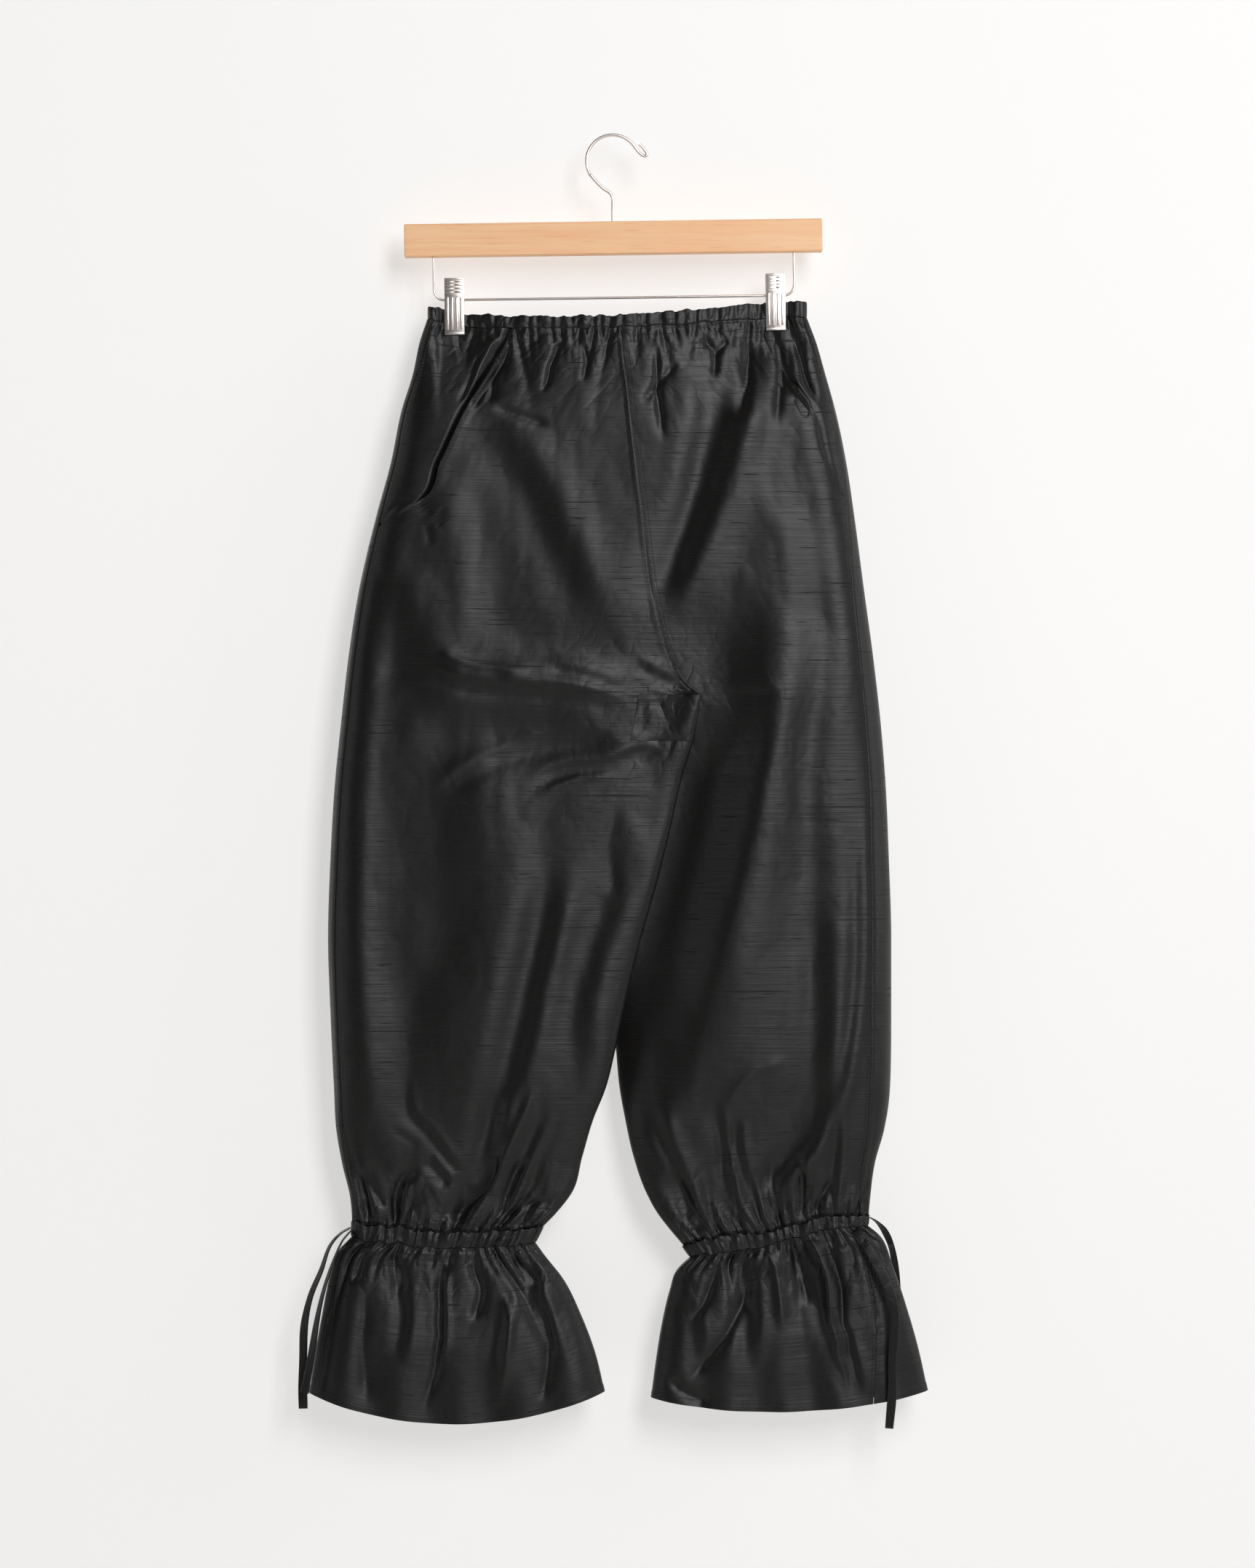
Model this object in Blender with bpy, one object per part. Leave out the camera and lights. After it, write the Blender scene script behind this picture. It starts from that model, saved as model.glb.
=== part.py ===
"""Silk trousers with gathered ankles, hung by the waist on a wooden clip hanger.

Sizes are in millimetres. The origin is where the hook's wire rests on its nail:
+X is the viewer's right, +Z is up and the viewer stands on the -Y side.
A "drop" is a distance below the origin, so z = -drop.
"left" and "right" are the viewer's.
"""

import math
from collections import namedtuple

import bmesh
import bpy
import numpy as np
from mathutils import Vector

MM = 0.001
LEFT, RIGHT = "left", "right"
FRONT, BACK = "front", "back"

# Cloth
CLOTH_WALL = 1.2
BAND_WALL = 2.2
SEAM_GAP = 0.34
CENTRE_X = 4.3

# Outline of the hung trousers, read level by level down the garment
SideRow = namedtuple("SideRow", "drop left right")
SIDES = [
    SideRow(154, -157, 165),
    SideRow(175, -164, 173),
    SideRow(203, -170, 181),
    SideRow(232, -179, 189),
    SideRow(280, -189, 199),
    SideRow(320, -200, 205),
    SideRow(388, -216, 214),
    SideRow(439, -224, 221),
    SideRow(500, -231, 228),
    SideRow(549, -236, 232),
    SideRow(616, -240, 235),
    SideRow(683, -242, 237),
    SideRow(745, -240, 237),
    SideRow(810, -237, 236),
    SideRow(846, -235, 231),
    SideRow(875, -230, 223),
    SideRow(905, -223, 219),
    SideRow(950, -221, 216),
]

# Centre front seam; the centre back seam is its mirror image
RiseRow = namedtuple("RiseRow", "drop seam")
FRONT_RISE = [
    RiseRow(154, 6),
    RiseRow(203, 12),
    RiseRow(262, 19),
    RiseRow(329, 27),
    RiseRow(385, 34),
    RiseRow(417, 41),
    RiseRow(439, 47),
    RiseRow(459, 56),
    RiseRow(470, 65),
    RiseRow(476, 75),
]
CROTCH_DROP = 476

# Inner folded edge of each leg
InseamRow = namedtuple("InseamRow", "drop left right")
INSEAMS = [
    InseamRow(476, 75, -66),
    InseamRow(515, 68, -59),
    InseamRow(549, 58, -49),
    InseamRow(594, 48, -39),
    InseamRow(638, 37, -28),
    InseamRow(683, 24, -15),
    InseamRow(745, 9, -1),
    InseamRow(778, 2, 3),
    InseamRow(810, -6, 6),
    InseamRow(838, -17, 11),
    InseamRow(869, -26, 18),
    InseamRow(900, -35, 29),
    InseamRow(918, -49, 39),
    InseamRow(931, -61, 49),
    InseamRow(950, -67, 65),
]

# How far the side seam sits inside the outline, on the front
InsetRow = namedtuple("InsetRow", "drop left right")
SEAM_INSETS = [
    InsetRow(154, 4, 4),
    InsetRow(320, 5, 7),
    InsetRow(410, 6, 12),
    InsetRow(560, 7, 15),
    InsetRow(745, 7, 18),
    InsetRow(810, 7, 18),
    InsetRow(865, 6, 12),
    InsetRow(930, 4, 7),
]

# Waist: the seam under the band, the band's top edge and half the depth of the mouth
WaistRow = namedtuple("WaistRow", "x seam top half_depth")
WAIST = [
    WaistRow(-158, 155.6, 144.5, 5.5),
    WaistRow(-151, 157.0, 145.8, 4.6),
    WaistRow(-146, 158.3, 147.0, 1.8),
    WaistRow(-125, 162.3, 151.2, 1.8),
    WaistRow(-116, 163.0, 151.9, 3.8),
    WaistRow(-68, 163.7, 153.8, 9.0),
    WaistRow(4, 163.7, 153.4, 12.0),
    WaistRow(41, 161.8, 150.2, 11.0),
    WaistRow(78, 159.3, 147.6, 9.0),
    WaistRow(117, 156.0, 143.4, 3.8),
    WaistRow(127, 155.2, 142.3, 1.8),
    WaistRow(149, 154.2, 140.9, 1.8),
    WaistRow(155, 154.0, 141.2, 4.0),
    WaistRow(166, 153.8, 141.8, 5.5),
]

# Slant pocket edges, down to the side seam
PocketRow = namedtuple("PocketRow", "drop left right")
POCKETS = [
    PocketRow(154, -82, 132),
    PocketRow(169, -87, 136),
    PocketRow(199, -103, 144),
    PocketRow(232, -123, 169),
    PocketRow(278, -145, 182),
    PocketRow(314, -164, 197),
    PocketRow(334, -204, 215),
    PocketRow(350, -265, 265),
]
POCKET_END = {LEFT: 331, RIGHT: 314}
POCKET_UNDERLAP = 12
POCKET_SINK = 3.4
POCKET_SINK_FADE = 40
POCKET_GAPE = {LEFT: 4.5, RIGHT: 0.6}
POCKET_GAPE_START = 175
POCKET_GAPE_RISE = 35
POCKET_GAPE_END = 300
POCKET_GAPE_FALL = 60
POCKET_GAPE_WIDTH = 14
POCKET_COLUMNS = 8

# Ankle casings: drops of the upper and lower seam, by share of the width from the outer side
AnkleRow = namedtuple("AnkleRow", "share left_top left_bottom right_top right_bottom")
ANKLES = [
    AnkleRow(0.00, 924.5, 938.0, 917.6, 926.5),
    AnkleRow(0.20, 927.5, 941.5, 918.5, 929.5),
    AnkleRow(0.37, 931.0, 945.0, 925.0, 936.0),
    AnkleRow(0.55, 932.5, 946.0, 932.5, 943.0),
    AnkleRow(0.72, 931.5, 945.0, 934.5, 948.5),
    AnkleRow(1.00, 928.8, 942.4, 943.6, 953.5),
]

# Ruffles: outer and inner edge, by share of the way down to the hem
RuffleRow = namedtuple("RuffleRow", "down outer_x outer_drop inner_x inner_drop sag")
RUFFLES = {
    LEFT: [
        RuffleRow(0.00, -222, 938, -66, 942, 6),
        RuffleRow(0.10, -234, 950, -58, 953, 8),
        RuffleRow(0.25, -240, 969, -43, 972, 12),
        RuffleRow(0.50, -247, 1003, -27, 1004, 18),
        RuffleRow(0.75, -253, 1037, -15, 1036, 22),
        RuffleRow(1.00, -258, 1070, -7, 1069, 25),
    ],
    RIGHT: [
        RuffleRow(0.00, 217, 926, 66, 953, 2),
        RuffleRow(0.10, 229, 938, 55, 965, 3),
        RuffleRow(0.25, 238, 961, 49, 982, 5),
        RuffleRow(0.50, 250, 997, 42, 1012, 8),
        RuffleRow(0.75, 260, 1032, 37, 1043, 11),
        RuffleRow(1.00, 268, 1068, 33, 1074, 13),
    ],
}
RUFFLE_SEAM_SHARE = {LEFT: (0.02, 0.03), RIGHT: (0.06, 0.20)}
RUFFLE_HALF_DEPTH = 17
RUFFLE_ROUND = 55
RUFFLE_WAVES = 5
RUFFLE_WAVE_DEPTH = 4.5
RUFFLE_WAVE_START = 1.1
RUFFLE_SAG_LENGTH = 0.5
RUFFLE_OPEN_LENGTH = 0.6
RUFFLE_LEVEL_LENGTH = 0.12
RUFFLE_GATHER_LENGTH = 0.3
RUFFLE_SLOPE_STEP = 0.0004

# Depths of the hanging tubes
HALF_DEPTH = 21
TUBE_MIDDLE = -3
ANKLE_HALF_SHARE = 0.42
ANKLE_TAPER_START = 770
SIDE_ROUND = 75
WAIST_ROUND = 9
HIP_FILL = 95
INSEAM_ROUND = 40
ANKLE_ROUND = 28
CROTCH_ROUND = 3

# The legs hang one behind the other: the right leg's inner part is behind the left leg
TUCK_WIDTH = 75
TUCK_START = 385
CROTCH_FADE = 75
CROTCH_PART_BACK = 14.6
CROTCH_PART_FRONT = -20.6
LEG_CLEARANCE_TOP = 1.3
LEG_CLEARANCE = 1.6

# Gusset, folded round the left leg's inner edge
GUSSET_WIDTH = 53
GUSSET_BOTTOM = 515

# Gathers, counted on each side of the garment
BAND_GATHERS = 36
CASING_GATHERS = 20
GATHER_DEPTH = 1.1
ANKLE_GATHER_DEPTH = 1.3
CLIP_X = (-135.5, 138)
CLIP_PINCH = 13
CLIP_PRESS = 0.95

# Where the gathers die away, and how near a seam or fold the cloth turns level or flat
WAIST_GATHER_END = 206
WAIST_GATHER_FADE = 46
ANKLE_GATHER_START = 872
ANKLE_GATHER_FADE = 52
FOLD_FADE = 10
WAIST_LEVEL_LENGTH = 16
ANKLE_LEVEL_LENGTH = 20
SLOPE_STEP = 0.04

# Closed bands: share of their columns crowded at the folded sides, inset, bulge and fades
CROWDED_SHARE = 0.6
BAND_INSET = 1.4
BAND_BULGE = 0.5
BAND_FADE = 6
CASING_FADE = 8

# Largest folds: soft troughs from one place to another, on one side of the garment.
# bend is how far the line bows to the right of its straight run; a negative depth is a ridge.
FoldRow = namedtuple("FoldRow", "face x1 drop1 x2 drop2 bend width depth")
FOLDS = [
    FoldRow(FRONT, -103, 232, 8, 415, -10, 15, 5.0),
    FoldRow(FRONT, -176, 345, -115, 455, 0, 12, 3.0),
    FoldRow(FRONT, 104, 160, 36, 400, 6, 15, 7.0),
    FoldRow(FRONT, 148, 160, 162, 245, 0, 10, 4.0),
    FoldRow(FRONT, -45, 170, -60, 222, 0, 9, 3.0),
    FoldRow(FRONT, 206, 380, 158, 810, 10, 13, 5.5),
    FoldRow(FRONT, -166, 451, 20, 488, 0, 10, 3.0),
    FoldRow(FRONT, -156, 560, 13, 505, 18, 12, 3.0),
    FoldRow(FRONT, -176, 480, -166, 840, 0, 17, 4.0),
    FoldRow(FRONT, -13, 588, -130, 905, 5, 16, 6.0),
    FoldRow(FRONT, -16, 686, -117, 912, 10, 12, 5.5),
    FoldRow(FRONT, -26, 850, -100, 920, 5, 9, 4.0),
    FoldRow(FRONT, 13, 784, 56, 895, -3, 9, 3.0),
    FoldRow(FRONT, 111, 820, 128, 928, -6, 10, 5.0),
    FoldRow(FRONT, 177, 800, 134, 918, 15, 9, 5.0),
    FoldRow(FRONT, 209, 820, 183, 914, 3, 9, 4.0),
    FoldRow(BACK, 112, 228, -2, 410, 9, 15, 5.0),
    FoldRow(BACK, -96, 165, -30, 395, -6, 15, 6.0),
    FoldRow(BACK, -200, 390, -160, 800, -10, 13, 5.0),
    FoldRow(BACK, 170, 455, -8, 490, 0, 11, 3.0),
    FoldRow(BACK, 172, 490, 168, 830, 0, 16, 4.0),
    FoldRow(BACK, 20, 600, 128, 905, -5, 16, 6.0),
    FoldRow(BACK, 30, 700, 106, 915, -8, 12, 5.0),
    FoldRow(BACK, -110, 815, -120, 925, 6, 10, 5.0),
    FoldRow(BACK, -172, 805, -150, 918, -8, 9, 4.5),
]

# Level rows of the leg panels, and how many times finer their columns are there
PanelRow = namedtuple("PanelRow", "level density")
PANEL_ROWS = [
    PanelRow(160, 2),
    PanelRow(176, 2),
    PanelRow(199, 1),
    PanelRow(232, 1),
    PanelRow(278, 1),
    PanelRow(314, 1),
    PanelRow(334, 1),
    PanelRow(385, 1),
    PanelRow(430, 1),
    PanelRow(459, 1),
    PanelRow(CROTCH_DROP, 1),
    PanelRow(495, 1),
    PanelRow(GUSSET_BOTTOM, 1),
    PanelRow(560, 1),
    PanelRow(620, 1),
    PanelRow(690, 1),
    PanelRow(760, 1),
    PanelRow(815, 1),
    PanelRow(862, 1),
    PanelRow(900, 2),
    PanelRow(926, 2),
]
PANEL_TOP = PANEL_ROWS[0].level
PANEL_BOTTOM = PANEL_ROWS[-1].level
TOP_FADE = 60
BOTTOM_FADE = 110
EDGE_STEPS = 12
WRAP_COLUMNS = 3
OUTER_COLUMNS = 15
GUSSET_COLUMNS = 4
GUSSET_EASE = 160
COLUMN_EASE_START = 600
COLUMN_EASE_LENGTH = 300

# Hanger
HANGER_TILT = 0.8
BAR_LENGTH = 356
BAR_HEIGHT = 27.9
BAR_THICKNESS = 12
BAR_DROP = 86.7
BAR_SHIFT = 0.6
BAR_BEVEL = 1.0
HOOK_WIRE_RADIUS = 1.5
HOOK_RADIUS = 22.3
HOOK_TURN_START = 214
HOOK_TURN_END = 34
HOOK_STEPS = 18

# Middle line of the hook's wire below its round turn and at its folded-back tip
HookPoint = namedtuple("HookPoint", "x z")
HOOK_NECK = [HookPoint(0, -54), HookPoint(-0.8, -50.5), HookPoint(-3, -47.5), HookPoint(-16.5, -38)]
HOOK_TIP = [
    HookPoint(22.5, -13.5),
    HookPoint(26, -16.2),
    HookPoint(28.6, -16.4),
    HookPoint(29.2, -14.2),
    HookPoint(26.5, -10.2),
    HookPoint(22.8, -6.4),
]
RAIL_WIRE_RADIUS = 1.15
RAIL_HALF_LENGTH = 153.5
RAIL_CORNER = 9
RAIL_CORNER_STEPS = 5
RAIL_DROP = 137.3
SEAT_GAP = 0.3
CLIP_WIDTH = 16.7
CLIP_HEIGHT = 48.4
CLIP_PLATE = 1.1
CLIP_INNER_FACE = 3.3
CLIP_RELIEF = 0.7
CLIP_RIB_EDGES = [1.1, 3.3, 4.7, 6.9]
CLIP_PAD_EDGES = [0, 2.0, 4.0, 30.5, 33.0, 35.2, 36.4, 38.6, 39.8, 42.0, 43.2, 45.4]
BARREL_SIDES = 12
CLIP_TOP_ABOVE_RAIL = 18.2
BARREL_RADIUS = 2.9
BARREL_HALF_LENGTH = 6

# Drawstring ends: flat strips of cloth
TIE_WIDTH = 7.4
TIE_THICKNESS = 1.5
TieRow = namedtuple("TieRow", "x y drop turn")
TIES = {
    "tie_left_outer": [
        TieRow(-223.5, -0.6, 930, 85),
        TieRow(-232, -1.5, 935, 80),
        TieRow(-241, -4, 946, 70),
        TieRow(-248, -6, 966, 60),
        TieRow(-257, -7, 988, 45),
        TieRow(-262, -8, 1012, 30),
        TieRow(-263, -8, 1038, 15),
        TieRow(-263.5, -8, 1062, 6),
        TieRow(-263, -8, 1083, 0),
    ],
    "tie_left_inner": [
        TieRow(-222.8, -8.6, 932, 85),
        TieRow(-230, -12, 941, 82),
        TieRow(-237, -15, 957, 76),
        TieRow(-244.5, -17, 980, 66),
        TieRow(-250, -18.5, 1004, 52),
        TieRow(-254.5, -19.5, 1032, 36),
        TieRow(-258, -20, 1052, 20),
        TieRow(-261, -20, 1068, 10),
    ],
    "tie_right_front": [
        TieRow(206, -15, 930, 10),
        TieRow(213, -20, 940, 5),
        TieRow(222, -25, 955, 0),
        TieRow(233, -28, 977, 0),
        TieRow(238, -29, 993, 0),
        TieRow(238.5, -29, 1014, 0),
        TieRow(236.5, -28, 1040, 0),
        TieRow(236.5, -27, 1066, 0),
        TieRow(234, -26, 1097, 0),
    ],
    "tie_right_back": [
        TieRow(219.3, -3, 921, 85),
        TieRow(226, 2, 926, 70),
        TieRow(233, 7, 935, 40),
        TieRow(239, 12, 950, 50),
        TieRow(243, 17, 975, 35),
        TieRow(244, 21, 1005, 20),
        TieRow(243, 23, 1040, 8),
        TieRow(241, 23, 1072, 0),
    ],
}

# Finishes: base colour, roughness, metallic
Finish = namedtuple("Finish", "colour roughness metallic")
SILK = Finish((0.018, 0.017, 0.017, 1), 0.42, 0.0)
WOOD = Finish((0.80, 0.53, 0.29, 1), 0.50, 0.0)
CHROME = Finish((0.80, 0.80, 0.80, 1), 0.14, 1.0)

Sheet = namedtuple("Sheet", "points normals faces")


# Small helpers

def smooth(value):
    """Soft step from 0 to 1."""
    value = np.clip(value, 0, 1)
    return value * value * (3 - 2 * value)


def mix(start, end, share):
    return start + (end - start) * share


def edge_round(distance, radius):
    """Quarter-circle rise from 0 at a folded edge to 1 at the radius."""
    inside = 1 - np.clip(distance / radius, 0, 1)
    return np.sqrt(1 - inside * inside)


def read(rows, column, at):
    """One column of a table at given places of its first column, on a smooth curve.

    The curve doesn't swing past the table's values.
    """
    places = np.array([row[0] for row in rows], float)
    values = np.array([getattr(row, column) for row in rows], float)
    secants = np.diff(values) / np.diff(places)
    slopes = np.gradient(values, places)
    level = np.minimum(np.abs(secants[:-1]), np.abs(secants[1:])) * (secants[:-1] * secants[1:] > 0)
    slopes[1:-1] = np.clip(slopes[1:-1], -3 * level, 3 * level)
    at = np.clip(at, places[0], places[-1])
    index = np.clip(np.searchsorted(places, at, side="right") - 1, 0, len(places) - 2)
    span = places[index + 1] - places[index]
    share = (at - places[index]) / span
    rise = values[index + 1] - values[index]
    first = slopes[index] * span - rise
    second = rise - slopes[index + 1] * span
    bend = share * (1 - share) * ((1 - share) * first + share * second)
    return values[index] + share * rise + bend


def unit(vectors):
    return vectors / np.maximum(np.linalg.norm(vectors, axis=-1, keepdims=True), 1e-9)


# Outline of the garment

def side(leg, drop):
    return read(SIDES, leg, drop)


def rise_seam(face, drop):
    seam = read(FRONT_RISE, "seam", drop)
    return seam if face == FRONT else 2 * CENTRE_X - seam


def inner_edge(leg, drop):
    """The rise seam down to the crotch, then the leg's inner fold."""
    rise = rise_seam(FRONT if leg == LEFT else BACK, drop)
    return np.where(drop < CROTCH_DROP, rise, read(INSEAMS, leg, drop))


def toward_centre(leg):
    return 1 if leg == LEFT else -1


def side_seam(leg, drop):
    return side(leg, drop) + toward_centre(leg) * read(SEAM_INSETS, leg, drop)


def front_seam(leg, drop):
    """Outer edge of a front panel: the pocket edge, then the side seam."""
    pocket = read(POCKETS, leg, drop)
    seam = side_seam(leg, drop)
    return np.maximum(pocket, seam) if leg == LEFT else np.minimum(pocket, seam)


def ankle_ends(leg):
    """Outer and inner end of the ankle's upper seam."""
    outer_drop = getattr(ANKLES[0], leg + "_top")
    inner_drop = getattr(ANKLES[-1], leg + "_top")
    return side(leg, outer_drop), inner_edge(leg, inner_drop)


def ankle_share(leg, x):
    """Share of the ankle's width at x, from its outer end."""
    outer, inner = ankle_ends(leg)
    return np.clip((x - outer) / (inner - outer), 0, 1)


# Depths of the cloth

def flat_depth(face, x, drop):
    """Front or back of the garment as one tube, closed at both sides."""
    from_left = x - side(LEFT, drop)
    from_right = side(RIGHT, drop) - x
    taper = mix(1, ANKLE_HALF_SHARE, smooth((drop - ANKLE_TAPER_START) / (PANEL_BOTTOM - ANKLE_TAPER_START)))
    body = HALF_DEPTH * taper * edge_round(from_left, SIDE_ROUND) * edge_round(from_right, SIDE_ROUND)
    mouth = read(WAIST, "half_depth", x) * edge_round(np.minimum(from_left, from_right), WAIST_ROUND)
    fill = smooth((drop - PANEL_TOP) / HIP_FILL)
    half = mix(mouth, body, fill)
    return TUBE_MIDDLE * fill + (half if face == BACK else -half)


def part_depth(x, drop):
    """Surface that parts the two legs where one hangs behind the other."""
    left, right = inner_edge(LEFT, drop), inner_edge(RIGHT, drop)
    share = np.clip((x - right) / np.maximum(left - right, 1), 0, 1)
    at_crotch = mix(CROTCH_PART_BACK, CROTCH_PART_FRONT, smooth(share))
    return mix(at_crotch, TUBE_MIDDLE, smooth((drop - CROTCH_DROP) / CROTCH_FADE))


def tuck_share(leg, x, drop):
    """How far a layer is pressed towards the other leg, from 0 to 1."""
    other = inner_edge(RIGHT if leg == LEFT else LEFT, drop)
    reach = toward_centre(leg) * (x - other)
    sideways = smooth(1 + reach / TUCK_WIDTH)
    return sideways * smooth((drop - TUCK_START) / (CROTCH_DROP - TUCK_START))


def layer_depth(leg, face, x, drop):
    """Depth of one layer of one leg, before its folds."""
    top_face = FRONT if leg == LEFT else BACK
    under_face = BACK if leg == LEFT else FRONT
    lower = smooth((drop - CROTCH_DROP) / CROTCH_FADE)
    clearance = -toward_centre(leg) * mix(LEG_CLEARANCE_TOP, LEG_CLEARANCE, lower)
    top = flat_depth(top_face, x, drop)
    under = mix(flat_depth(under_face, x, drop), part_depth(x, drop) + clearance, tuck_share(leg, x, drop))
    inward = toward_centre(leg) * (inner_edge(leg, drop) - x)
    closing = np.where(drop >= CROTCH_DROP, edge_round(inward, mix(CROTCH_ROUND, INSEAM_ROUND, lower)), 1)
    middle = (top + under) / 2
    chosen = top if face == top_face else under
    return middle + (chosen - middle) * closing


def fold_depth(face, x, drop):
    """Sum of the soft troughs on one side."""
    total = np.zeros(np.shape(x))
    for fold in FOLDS:
        if fold.face != face:
            continue
        run = np.array([fold.x2 - fold.x1, fold.drop2 - fold.drop1], float)
        length = np.linalg.norm(run)
        run = run / length
        along = (x - fold.x1) * run[0] + (drop - fold.drop1) * run[1]
        across = (x - fold.x1) * run[1] - (drop - fold.drop1) * run[0]
        share = np.clip(along / length, 0, 1)
        across = across - 4 * fold.bend * share * (1 - share)
        ends = smooth(1 - np.abs(2 * along / length - 1) ** 3)
        total = total + fold.depth * ends * np.exp(-(across / fold.width) ** 2)
    return total


def cloth_depth(leg, face, x, drop):
    """Depth of a layer with its folds."""
    top_face = FRONT if leg == LEFT else BACK
    outer = toward_centre(leg) * (x - side(leg, drop))
    inner = toward_centre(leg) * (inner_edge(leg, drop) - x)
    inner = np.where(drop >= CROTCH_DROP, inner, INSEAM_ROUND)
    free = smooth(outer / INSEAM_ROUND) * smooth(inner / INSEAM_ROUND) * smooth((drop - PANEL_TOP) / TOP_FADE)
    if face != top_face:
        free = free * (1 - tuck_share(leg, x, drop))
    sign = 1 if face == FRONT else -1
    return layer_depth(leg, face, x, drop) + sign * free * fold_depth(face, x, drop)


def cloth_normal(leg, face, x, drop):
    """Outward direction of a layer, worked out from its slopes."""
    step = SLOPE_STEP
    outer, inner = side(leg, drop), inner_edge(leg, drop)
    near_outer = np.abs(x - outer) < np.abs(x - inner)
    aside = np.where(near_outer == (leg == LEFT), step, -step)
    shift = np.where(near_outer, side(leg, drop + step) - outer, inner_edge(leg, drop + step) - inner)
    here = cloth_depth(leg, face, x, drop)
    across_y = (cloth_depth(leg, face, x + aside, drop) - here) / aside
    down_y = (cloth_depth(leg, face, x + shift, drop + step) - here) / step
    across = np.stack([np.ones_like(x), across_y, np.zeros_like(x)], axis=-1)
    down = np.stack([shift / step, down_y, -np.ones_like(x)], axis=-1)
    outward = unit(np.cross(down, across))
    return outward if face == FRONT else -outward


def level_normal(outward, level):
    """Outward directions turned level at the waist seam and at the ankle seam."""
    waist = smooth(1 - (level - PANEL_TOP) / WAIST_LEVEL_LENGTH)
    ankle = smooth(1 - (PANEL_BOTTOM - level) / ANKLE_LEVEL_LENGTH)
    kept = 1 - waist - ankle
    outward = outward * np.stack([np.ones_like(kept), np.ones_like(kept), kept], axis=-1)
    return unit(outward)


def clip_pinch(x):
    """Share of the gathers left where a clip presses the cloth."""
    pressed = sum(np.exp(-((x - centre) / CLIP_PINCH) ** 4) for centre in CLIP_X)
    return 1 - CLIP_PRESS * np.clip(pressed, 0, 1)


def gather_fade(leg, x, drop, level):
    """Depth of the gathers: they die away from the seams, at the folded sides and under a clip."""
    from_side = toward_centre(leg) * (x - side(leg, drop))
    from_inner = toward_centre(leg) * (inner_edge(leg, drop) - x)
    waist = GATHER_DEPTH * smooth((WAIST_GATHER_END - level) / WAIST_GATHER_FADE) * clip_pinch(x)
    ankle = ANKLE_GATHER_DEPTH * smooth((level - ANKLE_GATHER_START) / ANKLE_GATHER_FADE)
    return (waist + ankle * smooth(from_inner / FOLD_FADE)) * smooth(from_side / FOLD_FADE)


# Leg panels

def cloth_drop(leg, level, x):
    """Drop of a panel's level row at x: it follows the waist seam and the ankle seam."""
    waist = (read(WAIST, "seam", x) - PANEL_TOP) * (1 - smooth((level - PANEL_TOP) / TOP_FADE))
    ankle = (read(ANKLES, leg + "_top", ankle_share(leg, x)) - PANEL_BOTTOM) * smooth(1 - (PANEL_BOTTOM - level) / BOTTOM_FADE)
    return level + waist + ankle


def end_x(leg, level, edge):
    """Where a row meets one of the panel's edge curves."""
    x = edge(level)
    for _ in range(EDGE_STEPS):
        x = edge(cloth_drop(leg, level, x))
    return x


def ease(share, soft_start, soft_end):
    """Spacing of columns, closer together at a folded end."""
    if soft_start and soft_end:
        return (1 - np.cos(np.pi * share)) / 2
    if soft_start:
        return 1 - np.cos(np.pi * share / 2)
    if soft_end:
        return np.sin(np.pi * share / 2)
    return share


def is_tucked(leg, face):
    """The left leg's back and the right leg's front hang between the two legs."""
    return (face == BACK) == (leg == LEFT)


def inner_columns(leg, face):
    """Columns beyond a panel's main block."""
    return 2 * GUSSET_COLUMNS if is_tucked(leg, face) else GUSSET_COLUMNS


def main_share(leg, face, level):
    """Share of a panel's width that its main block takes."""
    columns = OUTER_COLUMNS + inner_columns(leg, face)
    even = OUTER_COLUMNS / columns
    if not is_tucked(leg, face):
        return even
    other = rise_seam(FRONT if leg == RIGHT else BACK, CROTCH_DROP)
    own = inner_edge(leg, CROTCH_DROP)
    outer = side(leg, CROTCH_DROP)
    at_crotch = (other - outer) / (own - outer)
    return mix(at_crotch, even, smooth((level - COLUMN_EASE_START) / COLUMN_EASE_LENGTH))


def by_gusset(leg, even_x, own, level):
    """A block's edge, moved onto the gusset's edge beside the gusset."""
    if leg == RIGHT:
        return even_x
    beside = (GUSSET_BOTTOM - CROTCH_DROP) / 2
    away = np.abs(level - CROTCH_DROP - beside) - beside
    return mix(own - GUSSET_WIDTH, even_x, smooth(away / GUSSET_EASE))


def column_x(leg, face, column, level):
    """Horizontal place of a panel's column on a level row."""
    edge = front_seam if face == FRONT else side
    outer = end_x(leg, level, lambda drop: edge(leg, drop))
    own = end_x(leg, level, lambda drop: inner_edge(leg, drop))
    split = outer + main_share(leg, face, level) * (own - outer)
    below = level >= CROTCH_DROP
    inner = inner_columns(leg, face)
    if is_tucked(leg, face):
        other = end_x(leg, level, lambda drop: rise_seam(FRONT if leg == RIGHT else BACK, drop))
        split = np.where(below, split, other)
    else:
        split = by_gusset(leg, split, own, level)
    main = mix(outer, split, ease(np.clip(column / OUTER_COLUMNS, 0, 1), face == BACK, False))
    share = np.clip((column - OUTER_COLUMNS) / inner, 0, 1)
    x = np.where(column <= OUTER_COLUMNS, main, mix(split, own, np.where(below, ease(share, False, True), share)))
    if is_tucked(leg, face) and leg == LEFT:
        x = np.where(column > OUTER_COLUMNS, back_extension_x(split, own, column, level), x)
    if face == BACK:
        seam = end_x(leg, level, lambda drop: side_seam(leg, drop))
        wrapped = mix(outer, seam, ease(np.clip(-column / WRAP_COLUMNS, 0, 1), True, False))
        x = np.where(column < 0, wrapped, x)
    return x


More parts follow.
